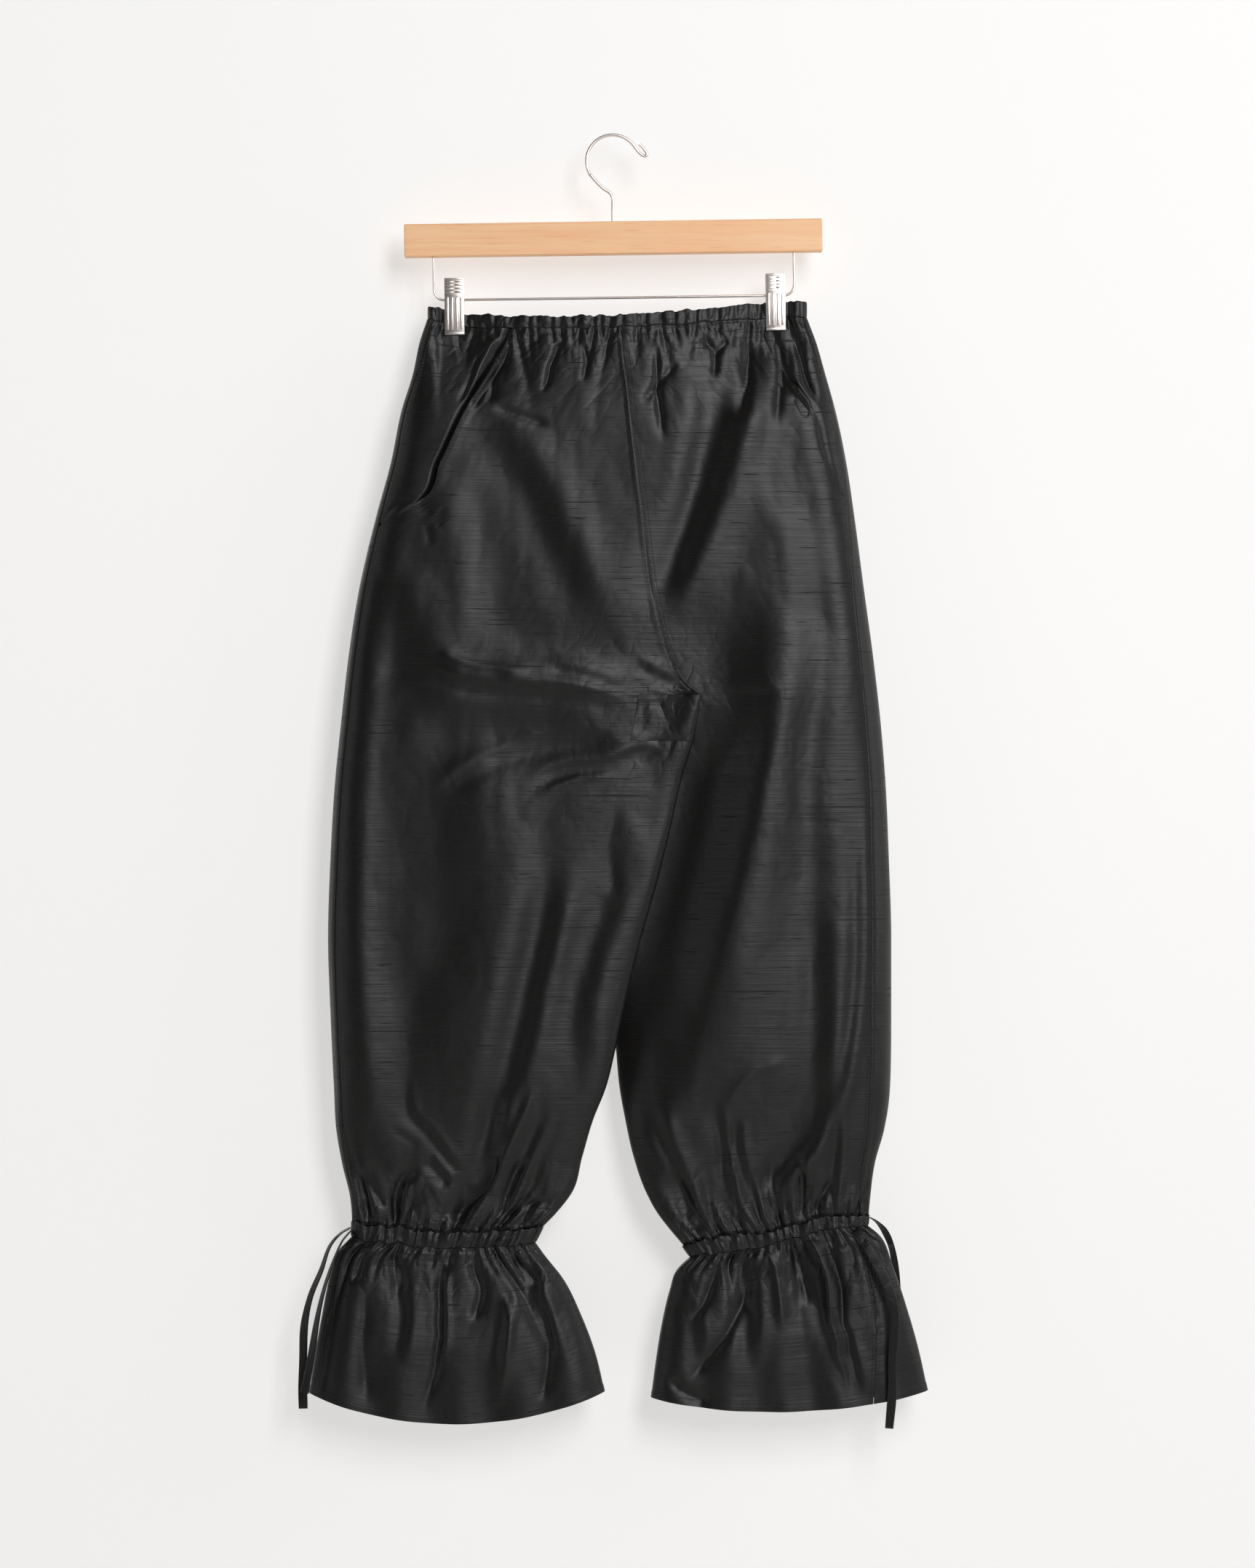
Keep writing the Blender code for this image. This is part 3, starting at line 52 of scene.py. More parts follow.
FRONT, BACK = "front", "back"


def rows_of(kind, rows):
    """A table's rows, each with its named columns."""
    return [kind(*row) for row in rows]


# Cloth
CLOTH_WALL = 0.6
BAND_HALF_WALL = 1.15
SEAM_GAP = 0.3
CENTRE_X = 4.3

# Outline of the hung trousers, read level by level down the garment
SideRow = namedtuple("SideRow", "drop left right")
SIDES = rows_of(SideRow, [
    (154, -157, 165), (175, -164, 173), (203, -170, 181), (232, -179, 189), (280, -189, 199),
    (320, -200, 205), (388, -216, 214), (439, -224, 221), (500, -231, 228), (549, -236, 232),
    (616, -240, 235), (683, -242, 237), (745, -240, 237), (810, -237, 236), (846, -235, 231),
    (875, -230, 223), (905, -223, 219), (950, -221, 216),
])

# Centre front seam; the centre back seam is its mirror image
RiseRow = namedtuple("RiseRow", "drop seam")
FRONT_RISE = rows_of(RiseRow, [
    (154, 6), (203, 12), (262, 19), (329, 27), (385, 34), (417, 41), (439, 47), (459, 56),
    (470, 65), (476, 75),
])
CROTCH_DROP = 476

# Inner folded edge of each leg
InseamRow = namedtuple("InseamRow", "drop left right")
INSEAMS = rows_of(InseamRow, [
    (476, 75, -66), (515, 68, -59), (549, 58, -49), (594, 48, -39), (638, 37, -28), (683, 24, -15),
    (745, 9, -1), (778, 2, 3), (810, -6, 6), (838, -17, 11), (869, -26, 18), (900, -35, 29),
    (918, -49, 39), (931, -61, 49), (950, -67, 65),
])

# How far the side seam sits inside the outline, on the front
InsetRow = namedtuple("InsetRow", "drop left right")
SEAM_INSETS = rows_of(InsetRow, [
    (154, 4, 4), (320, 5, 7), (410, 6, 12), (560, 7, 15), (745, 7, 18), (810, 7, 18), (865, 6, 12),
    (930, 4, 7),
])

# Waist: the seam under the band, the band's top edge and half the depth of the mouth
WaistRow = namedtuple("WaistRow", "x seam top half_depth")
WAIST = rows_of(WaistRow, [
    (-158, 155.6, 144.5, 5.5), (-151, 157.0, 145.8, 4.6), (-146, 158.3, 147.0, 1.8),
    (-125, 162.3, 151.2, 1.8), (-116, 163.0, 151.9, 3.8), (-68, 163.7, 153.8, 9.0),
    (4, 163.7, 153.4, 12.0), (41, 161.8, 150.2, 11.0), (78, 159.3, 147.6, 9.0),
    (117, 156.0, 143.4, 3.8), (127, 155.2, 142.3, 1.8), (149, 154.2, 140.9, 1.8),
    (155, 154.0, 141.2, 4.0), (166, 153.8, 141.8, 5.5),
])

# Slant pocket edges, down to the side seam
PocketRow = namedtuple("PocketRow", "drop left right")
POCKETS = rows_of(PocketRow, [
    (154, -82, 132), (169, -87, 136), (199, -103, 144), (232, -123, 169), (278, -145, 182),
    (314, -164, 197), (334, -204, 215), (350, -265, 265),
])
POCKET_END = {LEFT: 331, RIGHT: 314}
POCKET_UNDERLAP = 12
POCKET_SINK = 3.4
POCKET_GAPE = {LEFT: 4.0, RIGHT: 0.6}
POCKET_EDGE_WIDTH = 6
POCKET_EDGE_SINK = {LEFT: 4.5, RIGHT: 0.9}
POCKET_COLUMNS = 8
POCKET_FOOT = 306
POCKET_FOOT_FADE = 10
POCKET_FOOT_LIFT = 0.9
GAPE_TOP, GAPE_RISE = 168, 25
GAPE_BOTTOM, GAPE_FALL = 325, 40
GAPE_DROOP, GAPE_DROOP_TOP, GAPE_DROOP_LENGTH = 0.8, 205, 35
GAPE_WIDTH = 8

# Ankle casings: drops of the upper and lower seam, by share of the width from the outer side
AnkleRow = namedtuple("AnkleRow", "share left_top left_bottom right_top right_bottom")
ANKLES = rows_of(AnkleRow, [
    (0.00, 924.5, 938.0, 917.6, 926.5), (0.20, 927.5, 941.5, 918.5, 929.5),
    (0.37, 931.0, 945.0, 925.0, 936.0), (0.55, 932.5, 946.0, 932.5, 943.0),
    (0.72, 931.5, 945.0, 934.5, 948.5), (1.00, 928.8, 942.4, 943.6, 953.5),
])

# Ruffles: outer and inner edge, by share of the way down to the hem
RuffleRow = namedtuple("RuffleRow", "down outer_x outer_drop inner_x inner_drop sag")
RUFFLES = {
    LEFT: rows_of(RuffleRow, [
        (0.00, -222, 938, -66, 942, 6), (0.10, -234, 950, -58, 953, 8),
        (0.25, -240, 969, -43, 972, 12), (0.50, -247, 1003, -27, 1004, 18),
        (0.75, -253, 1037, -15, 1036, 22), (1.00, -258, 1070, -7, 1069, 25),
    ]),
    RIGHT: rows_of(RuffleRow, [
        (0.00, 217, 926, 66, 953, 2), (0.10, 229, 938, 55, 965, 3), (0.25, 238, 961, 49, 982, 5),
        (0.50, 250, 997, 42, 1012, 8), (0.75, 260, 1032, 37, 1043, 11),
        (1.00, 268, 1068, 33, 1074, 13),
    ]),
}
RUFFLE_SEAM_SHARE = {LEFT: (0.02, 0.03), RIGHT: (0.06, 0.20)}
RUFFLE_HALF_DEPTH = 17
RUFFLE_ROUND = 55
RUFFLE_WAVES = 5
RUFFLE_WAVE_DEPTH = 1.3

# Depths of the hanging tubes
HALF_DEPTH = 21
TUBE_MIDDLE = -3
ANKLE_HALF_SHARE = 0.42
ANKLE_TAPER_START = 770
SIDE_ROUND = 34
WAIST_ROUND = 9
HIP_FILL = 95
INSEAM_ROUND = 40
ANKLE_ROUND = 28
CROTCH_ROUND = 3

# The legs hang one behind the other: the right leg's inner part is behind the left leg
TUCK_WIDTH = 75
TUCK_START = 385
CROTCH_FADE = 75
CROTCH_PART_BACK = 14.6
CROTCH_PART_FRONT = -20.6
LEG_CLEARANCE_TOP = 1.3
LEG_CLEARANCE = 1.6

# Gusset, folded round the left leg's inner edge
GUSSET_WIDTH = 53
GUSSET_BOTTOM = 515

# Step for slopes, and lengths over which the outward directions turn level at the seams
NORMAL_STEP = 0.04
WAIST_LEVELLING = 16
ANKLE_LEVELLING = 20

# Gathers, counted on each side of the garment
BAND_GATHERS = 36
CASING_GATHERS = 20
CLIP_X = (-135.5, 138)
CLIP_PINCH = 13
CLIP_PRESS = 0.95

# Soft folds: their width, depth, tilt and line of (x, drop) places on the front, down or rightwards.
# A positive tilt turns the cloth left or down, away from the window; a negative one turns it to the window.
Band = namedtuple("Band", "width depth tilt line")
BANDS = rows_of(Band, [
    # Left leg
    (16, 0, 0.14, ((-187, 368), (-178, 400), (-168, 435), (-155, 462))),
    (24, 0, 0.13, ((-160, 490), (-132, 540), (-127, 610), (-125, 660), (-132, 710), (-150, 755),
          (-164, 850))),
    (14, 0, 0.22, ((-108, 215), (-90, 262), (-66, 295), (-50, 330), (-35, 360), (-20, 393), (2, 430))),
    (17, 0, -0.14, ((-125, 270), (-120, 330), (-112, 393), (-118, 440))),
    (22, 0, 0.26, ((-172, 486), (-117, 490), (-50, 490), (14, 500))),
    (6, 0, 0.50, ((-160, 456), (-117, 467), (-32, 474), (19, 488))),
    (5, 0, 0.45, ((-72, 552), (-46, 539), (-6, 533), (23, 523), (45, 520))),
    (6, 0, 0.34, ((-150, 562), (-122, 541), (-70, 520), (-24, 512), (17, 514))),
    (5, 0, 0.40, ((-60, 449), (-20, 458), (12, 470))),
    (4, 0, 0.42, ((17, 446), (36, 456), (58, 466))),
    (16, 0, -0.16, ((-110, 440), (-60, 446), (-20, 452), (16, 464))),
    (10, 1.0, 0.36, ((-44, 610), (-50, 654), (-60, 700), (-70, 745), (-81, 790), (-98, 850),
          (-112, 900))),
    (14, 1.0, 0.34, ((2, 575), (2, 654), (-12, 700), (-22, 745), (-18, 790), (-26, 850))),
    (12, 0, -0.14, ((-65, 565), (-68, 610), (-70, 654), (-84, 710), (-103, 790), (-122, 870))),
    (8, 0, -0.15, ((10, 560), (30, 595), (40, 625), (32, 660), (20, 705))),
    (20, 0, -0.17, ((-196, 380), (-206, 430), (-209, 540), (-207, 654), (-196, 745), (-186, 830),
          (-180, 880))),
    (12, 0, -0.12, ((-166, 180), (-170, 262), (-182, 330), (-192, 370))),
    # Right leg
    (14, 2.0, 0.44, ((112, 172), (106, 218), (97, 255), (86, 293), (74, 325), (61, 355),
          (49, 387), (40, 416))),
    (16, 0, -0.13, ((132, 190), (135, 295), (158, 335), (160, 393), (160, 460), (151, 520),
          (143, 610), (132, 700), (108, 790))),
    (33, 0, 0.34, ((138, 380), (122, 420), (106, 480), (97, 540), (90, 590), (80, 640), (72, 690),
          (66, 760), (50, 835))),
    (10, 0, 0.12, ((178, 430), (178, 500), (174, 545), (178, 610), (180, 650))),
    (11, 0, 0.37, ((179, 600), (180, 700), (179, 790), (168, 830), (156, 870), (148, 900))),
    (5, 0, 0.34, ((212, 550), (211, 610), (210, 700), (206, 745), (199, 790), (189, 835), (182, 880))),
    (9, 0, -0.15, ((62, 190), (70, 230), (62, 300), (48, 360), (30, 400))),
    (7, 0, -0.16, ((18, 780), (24, 830), (44, 880))),
    (7, 0, 0.22, ((104, 850), (98, 885), (92, 915))),
    # Above the left ankle
    (8, 1.5, 0.55, ((-95, 801), (-98, 841), (-108, 878), (-128, 918), (-135, 935))),
    (4, 1.0, 0.55, ((-68, 801), (-82, 838), (-102, 878), (-122, 911))),
    (4, 1.0, 0.55, ((-55, 828), (-68, 858), (-82, 888), (-95, 918))),
    (5, 1.0, 0.40, ((-15, 821), (-25, 861), (-38, 888), (-55, 911))),
    (4, 1.0, 0.60, ((-222, 864), (-217, 888), (-212, 911), (-205, 931))),
    (9, 0, -0.25, ((-226, 835), (-216, 862), (-204, 890), (-190, 920))),
    (4, 1.2, 0.40, ((-173, 790), (-172, 828), (-155, 848), (-138, 871), (-127, 880))),
    (4, 1.0, 0.55, ((-158, 868), (-148, 880), (-136, 894))),
    (5, 1.0, 0.55, ((-163, 878), (-177, 892), (-180, 911), (-186, 932))),
    # Above the right ankle
    (7, 1.5, 0.50, ((6, 790), (14, 848), (42, 884), (64, 916), (84, 945))),
    (6, 1.5, 0.60, ((32, 818), (46, 858), (60, 891), (71, 923))),
    (4, 1.2, 0.55, ((87, 815), (94, 855), (98, 891), (107, 927))),
    (4, 1.2, 0.50, ((107, 832), (107, 858), (118, 902), (128, 927))),
    (7, 1.2, 0.50, ((188, 790), (179, 830), (168, 858), (143, 884), (122, 912))),
    (4, 1.0, 0.55, ((193, 825), (190, 873), (186, 918))),
    (2.5, 0.8, 0.50, ((161, 862), (161, 894), (159, 926))),
    (3.5, 0.8, 0.50, ((204, 888), (199, 905), (193, 926))),
    # Ruffles
    (6, 1.0, 0.45, ((-70, 950), (-62, 990), (-46, 1050))),
    (6, 0.8, 0.35, ((-182, 960), (-175, 1000), (-181, 1050))),
    (6, 0.8, 0.30, ((-84, 975), (-91, 1005), (-102, 1050))),
    (7, 1.0, 0.50, ((113, 935), (112, 965), (119, 1000), (114, 1055))),
    (7, 1.5, 0.50, ((150, 935), (172, 962), (181, 1000), (201, 1045), (212, 1080))),
    (6, 0.8, 0.35, ((66, 985), (72, 1015), (76, 1055))),
])

# Creases: their width, depth and line of (x, drop) places on the front; a negative depth is a ridge.
# The back has them mirrored, a little moved.
Crease = namedtuple("Crease", "width depth line")
CREASES = rows_of(Crease, [
    # Left thigh, below the crotch
    (3, 1.0, ((-166, 451), (-117, 466), (-32, 472), (17, 487))),
    (8, -2.0, ((-150, 440), (-119, 450), (-63, 458))),
    (4, 0.8, ((-156, 566), (-124, 539), (-72, 517), (-26, 508), (13, 512))),
    (3, 0.8, ((-72, 552), (-46, 539), (-6, 533), (23, 523), (41, 523))),
    (4, -1.4, ((-66, 562), (-32, 549), (5, 542))),
    (9, 1.6, ((7, 556), (-3, 601), (-1, 627), (4, 654))),
    # Hips and waist, left of the centre seam
    (3, 2.4, ((-45, 174), (-51, 193), (-60, 220))),
    (6, 2.2, ((-94, 180), (-100, 206), (-106, 232))),
    (4, 1.5, ((-104, 232), (-79, 240), (-49, 250))),
    (4, 1.4, ((-26, 175), (-22, 193), (-26, 212))),
    # Left pocket: the turned edge, the troughs beside it and the creases at its foot
    (4.5, -3.0, ((-96, 170), (-105, 184), (-117, 209), (-125, 229))),
    (4, 2.6, ((-86, 175), (-94, 193), (-109, 218), (-119, 236))),
    (3, 1.6, ((-110, 179), (-120, 206), (-131, 231))),
    (2.5, 1.2, ((-164, 314), (-176, 312), (-182, 314), (-196, 329))),
    (2.5, 1.2, ((-166, 311), (-159, 319), (-153, 326))),
    (3, 0.5, ((-157, 329), (-155, 340), (-154, 351))),
    (2.5, 1.2, ((-146, 317), (-146, 326), (-146, 335))),
    # Right of the centre seam and the right hip
    (3.5, 2.2, ((36, 175), (38, 206), (39, 231), (45, 263))),
    (5, 1.8, ((24, 231), (39, 212), (55, 193))),
    (4, 2.2, ((76, 172), (86, 184), (86, 209))),
    (3, 1.6, ((98, 172), (92, 180), (86, 187))),
    (10, 3.0, ((117, 172), (115, 206), (104, 247))),
    (5, 2.0, ((138, 167), (143, 202), (138, 252))),
    (5, 2.6, ((153, 164), (162, 197), (172, 229))),
    (4, -2.2, ((151, 206), (160, 221), (169, 236))),
    (4, 2.2, ((154, 220), (160, 231), (165, 242))),
    (2.5, 1.0, ((172, 239), (178, 262), (184, 278))),
    (4, -1.6, ((182, 212), (188, 237), (195, 262))),
    # Gusset
    (2.5, 1.5, ((24, 477), (25, 494), (25, 511))),
    (2.5, 1.2, ((26, 514), (45, 516), (66, 515))),
    (2, 0.8, ((26, 482), (36, 485), (48, 482))),
    (3, 1.2, ((53, 469), (60, 474), (64, 479))),
    # Above the left ankle
    (3.5, 3.0, ((-216, 880), (-213, 900), (-209, 924))),
    (6, 2.2, ((-213, 875), (-203, 897), (-192, 914))),
    (4.5, 2.8, ((-163, 875), (-179, 890), (-183, 903), (-184, 928), (-190, 938))),
    (5, 0.9, ((-156, 867), (-147, 879), (-136, 893))),
    (3, 0.5, ((-190, 841), (-177, 852), (-160, 859))),
    (7, 4.0, ((-97, 864), (-107, 890), (-128, 913), (-133, 926))),
    (5, 2.6, ((-73, 866), (-82, 885), (-91, 903), (-97, 924))),
    (4, 2.2, ((-47, 900), (-69, 910), (-88, 917), (-92, 929))),
    (4, -1.6, ((-50, 910), (-60, 918), (-69, 928))),
    # Above the right ankle
    (4, 2.2, ((100, 875), (106, 914), (111, 934))),
    (4, 2.2, ((115, 875), (125, 924), (135, 939))),
    (3, 1.6, ((130, 900), (136, 918), (142, 932))),
    (5, 3.0, ((159, 875), (161, 900), (161, 926))),
    (5, 2.6, ((188, 885), (177, 906), (170, 924))),
    (9, 3.0, ((47, 875), (67, 913), (81, 934))),
    (12, -1.2, ((92, 830), (118, 797), (150, 784))),
    # Left ruffle
    (4, 3.2, ((-146, 947), (-146, 981), (-147, 1014), (-151, 1048), (-160, 1090))),
    (5, -1.8, ((-139, 950), (-140, 999), (-143, 1049))),
    (6, 2.6, ((-208, 945), (-214, 959), (-222, 978))),
    (6, 2.2, ((-188, 950), (-180, 965), (-175, 984))),
    (6, 2.6, ((-120, 951), (-112, 984), (-119, 1009))),
    (5, 2.4, ((-88, 950), (-74, 965), (-60, 982))),
    (8, 2.6, ((-63, 987), (-53, 1030), (-60, 1080))),
    (10, 2.0, ((-238, 987), (-248, 1030), (-254, 1074))),
    (12, 2.2, ((-206, 975), (-212, 1030), (-207, 1083))),
    (9, -2.0, ((-94, 975), (-88, 1024), (-98, 1080))),
    # Right ruffle
    (6, -3.4, ((167, 931), (182, 973), (186, 1013), (202, 1073))),
    (5, 3.2, ((177, 933), (192, 973), (197, 1013), (213, 1071))),
    (1.6, 0.9, ((208, 937), (220, 982), (229, 1027), (234, 1064))),
    (2.5, 1.4, ((238, 988), (244, 990), (252, 989))),
    (9, 3.0, ((123, 950), (110, 993), (89, 1030), (61, 1061))),
    (6, 2.4, ((89, 959), (81, 984), (67, 1009))),
    (7, -2.2, ((135, 947), (141, 975), (144, 1018))),
    (6, 2.4, ((153, 941), (161, 968), (166, 999))),
    (8, 2.4, ((45, 1055), (64, 1069), (86, 1077))),
    (5, 2.0, ((231, 937), (238, 956), (250, 975))),
])
LINE_STEPS = 6
LINE_REACH = 3.4
LINE_END_SHARE = 0.25
BACK_LINE_SHIFT = 9
CREASE_WANDER = 1.2
WANDER_SPACING = 14
CREASE_SCALE = 1.5
CREASE_NARROWING = 1.2
TILT_SPREAD = 1.5
PROFILE_FALL = 1.6
PROFILE_BLUNTNESS = 0.03
PROFILE_TIP = 0.173

# Grid on which the relief of a side is worked out once
RELIEF_START = (-290, 140)
RELIEF_SIZE = (400, 660)
RELIEF_STEP = 1.45

# Level rows of the leg panels: where each run of rows starts, and its step
RowRun = namedtuple("RowRun", "start step")
PANEL_RUNS = [RowRun(160, 1.8), RowRun(216, 2.5), RowRun(850, 1.8), RowRun(926, 1)]
PANEL_TOP = PANEL_RUNS[0].start
PANEL_BOTTOM = PANEL_RUNS[-1].start
PANEL_DENSITY = 5
TOP_FADE = 60
BOTTOM_FADE = 110
EDGE_STEPS = 12
WRAP_COLUMNS = 3
OUTER_COLUMNS = 15
GUSSET_COLUMNS = 4
GUSSET_EASE = 160
COLUMN_EASE_START = 600
COLUMN_EASE_LENGTH = 300

# Hanger
HANGER_TILT = 0.8
BAR_HEIGHT = 27.9
BAR_DROP = 86.7
BAR_SHIFT = 0.6
HOOK_WIRE_RADIUS = 1.5
HOOK_RADIUS = 22.3
RAIL_WIRE_RADIUS = 1.15
RAIL_HALF_LENGTH = 153.5
RAIL_CORNER = 9
RAIL_DROP = 137.3
SEAT_GAP = 0.3
CLIP_WIDTH = 16.7
CLIP_HEIGHT = 48.4
CLIP_PLATE = 1.1
CLIP_INNER_FACE = 3.3
CLIP_TOP_ABOVE_RAIL = 18.2

# Drawstring ends: flat strips of cloth
TIE_WIDTH = 7.4
TieRow = namedtuple("TieRow", "x y drop turn")
TIES = {
    "tie_left_outer": rows_of(TieRow, [
        (-223.5, -0.6, 930, 85), (-232, -1.5, 935, 80), (-241, -4, 946, 70), (-248, -6, 966, 60),
        (-257, -7, 988, 45), (-262, -8, 1012, 30), (-263, -8, 1038, 15), (-263.5, -8, 1062, 6),
        (-263, -8, 1083, 0),
    ]),
    "tie_left_inner": rows_of(TieRow, [
        (-222.8, -8.6, 932, 85), (-230, -12, 941, 82), (-237, -15, 957, 76), (-244.5, -17, 980, 66),
        (-250, -18.5, 1004, 52), (-254.5, -19.5, 1032, 36), (-258, -20, 1052, 20),
        (-261, -20, 1068, 10),
    ]),
    "tie_right_front": rows_of(TieRow, [
        (206, -15, 930, 10), (213, -20, 940, 5), (222, -25, 955, 0), (233, -28, 977, 0),
        (238, -29, 993, 0), (238.5, -29, 1014, 0), (236.5, -28, 1040, 0), (236.5, -27, 1066, 0),
        (234, -26, 1097, 0),
    ]),
    "tie_right_back": rows_of(TieRow, [
        (219.3, -3, 921, 85), (226, 2, 926, 70), (233, 7, 935, 40), (239, 12, 950, 50),
        (243, 17, 975, 35), (244, 21, 1005, 20), (243, 23, 1040, 8), (241, 23, 1072, 0),
    ]),
}

# Photograph's framing
FRAME_HEIGHT = 1336.7
FRAME_CENTRE = (12.7, 0, -551.8)
CAMERA_DISTANCE = 3400
SENSOR = 36

Sheet = namedtuple("Sheet", "points normals faces cloth seam hem")


# Small helpers

def smooth(value):
    """Soft step from 0 to 1."""
    value = np.clip(value, 0, 1)
    return value * value * (3 - 2 * value)


def mix(start, end, share):
    return start + (end - start) * share


def edge_round(distance, radius):
    """Quarter-circle rise from 0 at a folded edge to 1 at the radius."""
    inside = 1 - np.clip(distance / radius, 0, 1)
    return np.sqrt(1 - inside * inside)


def read(rows, column, at):
    """One column of a table at given places of its first column, on a smooth curve.

    The curve doesn't swing past the table's values.
    """
    places = np.array([row[0] for row in rows], float)
    values = np.array([getattr(row, column) for row in rows], float)
    secants = np.diff(values) / np.diff(places)
    slopes = np.gradient(values, places)
    level = np.minimum(np.abs(secants[:-1]), np.abs(secants[1:])) * (secants[:-1] * secants[1:] > 0)
    slopes[1:-1] = np.clip(slopes[1:-1], -3 * level, 3 * level)
    at = np.clip(at, places[0], places[-1])
    index = np.clip(np.searchsorted(places, at, side="right") - 1, 0, len(places) - 2)
    span = places[index + 1] - places[index]
    share = (at - places[index]) / span
    rise = values[index + 1] - values[index]
    first = slopes[index] * span - rise
    second = rise - slopes[index + 1] * span
    bend = share * (1 - share) * ((1 - share) * first + share * second)
    return values[index] + share * rise + bend


def unit(vectors):
    return vectors / np.maximum(np.linalg.norm(vectors, axis=-1, keepdims=True), 1e-9)


def by_face(on_front, value_of):
    """The front's value where the cloth is on the front, and the back's elsewhere."""
    front, back = value_of(FRONT), value_of(BACK)
    return np.where(on_front if front.ndim == 1 else on_front[:, None], front, back)


def hashed(cell_x, cell_y, seed):
    """Repeatable value from 0 to 1 for each cell of a grid."""
    mixed = cell_x.astype(np.int64) * 374761393 + cell_y.astype(np.int64) * 668265263 + seed * 974634777
    mixed = (mixed ^ (mixed >> 13)) * 1274126177
    return ((mixed ^ (mixed >> 16)) & 0xFFFF) / 0xFFFF


def noise(x, y, seed):
    """Smooth wandering value from -1 to 1."""
    cell_x, cell_y = np.floor(x), np.floor(y)
    share_x, share_y = smooth(x - cell_x), smooth(y - cell_y)
    upper = mix(hashed(cell_x, cell_y, seed), hashed(cell_x + 1, cell_y, seed), share_x)
    lower = mix(hashed(cell_x, cell_y + 1, seed), hashed(cell_x + 1, cell_y + 1, seed), share_x)
    return 2 * mix(upper, lower, share_y) - 1


# Outline of the garment

def side(leg, drop):
    return read(SIDES, leg, drop)


def rise_seam(face, drop):
    seam = read(FRONT_RISE, "seam", drop)
    return seam if face == FRONT else 2 * CENTRE_X - seam


def inner_edge(leg, drop):
    """The rise seam down to the crotch, then the leg's inner fold."""
    rise = rise_seam(FRONT if leg == LEFT else BACK, drop)
    return np.where(drop < CROTCH_DROP, rise, read(INSEAMS, leg, drop))


def toward_centre(leg):
    return 1 if leg == LEFT else -1


def side_seam(leg, drop):
    return side(leg, drop) + toward_centre(leg) * read(SEAM_INSETS, leg, drop)


def front_seam(leg, drop):
    """Outer edge of a front panel: the pocket edge, then the side seam."""
    pocket = read(POCKETS, leg, drop)
    seam = side_seam(leg, drop)
    return np.maximum(pocket, seam) if leg == LEFT else np.minimum(pocket, seam)


def ankle_ends(leg):
    """Outer and inner end of the ankle's upper seam."""
    outer_drop = getattr(ANKLES[0], leg + "_top")
    inner_drop = getattr(ANKLES[-1], leg + "_top")
    return side(leg, outer_drop), inner_edge(leg, inner_drop)


def ankle_share(leg, x):
    """Share of the ankle's width at x, from its outer end."""
    outer, inner = ankle_ends(leg)
    return np.clip((x - outer) / (inner - outer), 0, 1)


# Depths of the cloth

def flat_depth(face, x, drop):
    """Front or back of the garment as one tube, closed at both sides."""
    from_left = x - side(LEFT, drop)
    from_right = side(RIGHT, drop) - x
    narrowing = (drop - ANKLE_TAPER_START) / (PANEL_BOTTOM - ANKLE_TAPER_START)
    taper = mix(1, ANKLE_HALF_SHARE, smooth(narrowing))
    body = HALF_DEPTH * taper * edge_round(from_left, SIDE_ROUND) * edge_round(from_right, SIDE_ROUND)
    mouth = read(WAIST, "half_depth", x) * edge_round(np.minimum(from_left, from_right), WAIST_ROUND)
    fill = smooth((drop - PANEL_TOP) / HIP_FILL)
    half = mix(mouth, body, fill)
    return TUBE_MIDDLE * fill + (half if face == BACK else -half)


def part_depth(x, drop):
    """Surface that parts the two legs where one hangs behind the other."""
    left, right = inner_edge(LEFT, drop), inner_edge(RIGHT, drop)
    share = np.clip((x - right) / np.maximum(left - right, 1), 0, 1)
    at_crotch = mix(CROTCH_PART_BACK, CROTCH_PART_FRONT, smooth(share))
    return mix(at_crotch, TUBE_MIDDLE, smooth((drop - CROTCH_DROP) / CROTCH_FADE))


def tuck_share(leg, x, drop):
    """How far a layer is pressed towards the other leg, from 0 to 1."""
    other = inner_edge(RIGHT if leg == LEFT else LEFT, drop)
    reach = toward_centre(leg) * (x - other)
    sideways = smooth(1 + reach / TUCK_WIDTH)
    return sideways * smooth((drop - TUCK_START) / (CROTCH_DROP - TUCK_START))


def layer_depth(leg, face, x, drop):
    """Depth of one layer of one leg, before its folds."""
    top_face = FRONT if leg == LEFT else BACK
    under_face = BACK if leg == LEFT else FRONT
    lower = smooth((drop - CROTCH_DROP) / CROTCH_FADE)
    clearance = -toward_centre(leg) * mix(LEG_CLEARANCE_TOP, LEG_CLEARANCE, lower)
    top = flat_depth(top_face, x, drop)
    under = mix(flat_depth(under_face, x, drop), part_depth(x, drop) + clearance, tuck_share(leg, x, drop))
    inward = toward_centre(leg) * (inner_edge(leg, drop) - x)
    closing = np.where(drop >= CROTCH_DROP, edge_round(inward, mix(CROTCH_ROUND, INSEAM_ROUND, lower)), 1)
    middle = (top + under) / 2
    chosen = top if face == top_face else under
    return middle + (chosen - middle) * closing


def cloth_depth(leg, face, x, drop):
    """Depth of a layer with its folds."""
    top_face = FRONT if leg == LEFT else BACK
    outer = toward_centre(leg) * (x - side(leg, drop))
    inner = toward_centre(leg) * (inner_edge(leg, drop) - x)
    inner = np.where(drop >= CROTCH_DROP, inner, INSEAM_ROUND)
    free = smooth(outer / INSEAM_ROUND) * smooth(inner / INSEAM_ROUND)
    free = free * smooth((drop - PANEL_TOP) / TOP_FADE)
    if face != top_face:
        free = free * (1 - tuck_share(leg, x, drop))
    sign = 1 if face == FRONT else -1
    return layer_depth(leg, face, x, drop) + sign * free * fold_depth(face, x, drop)


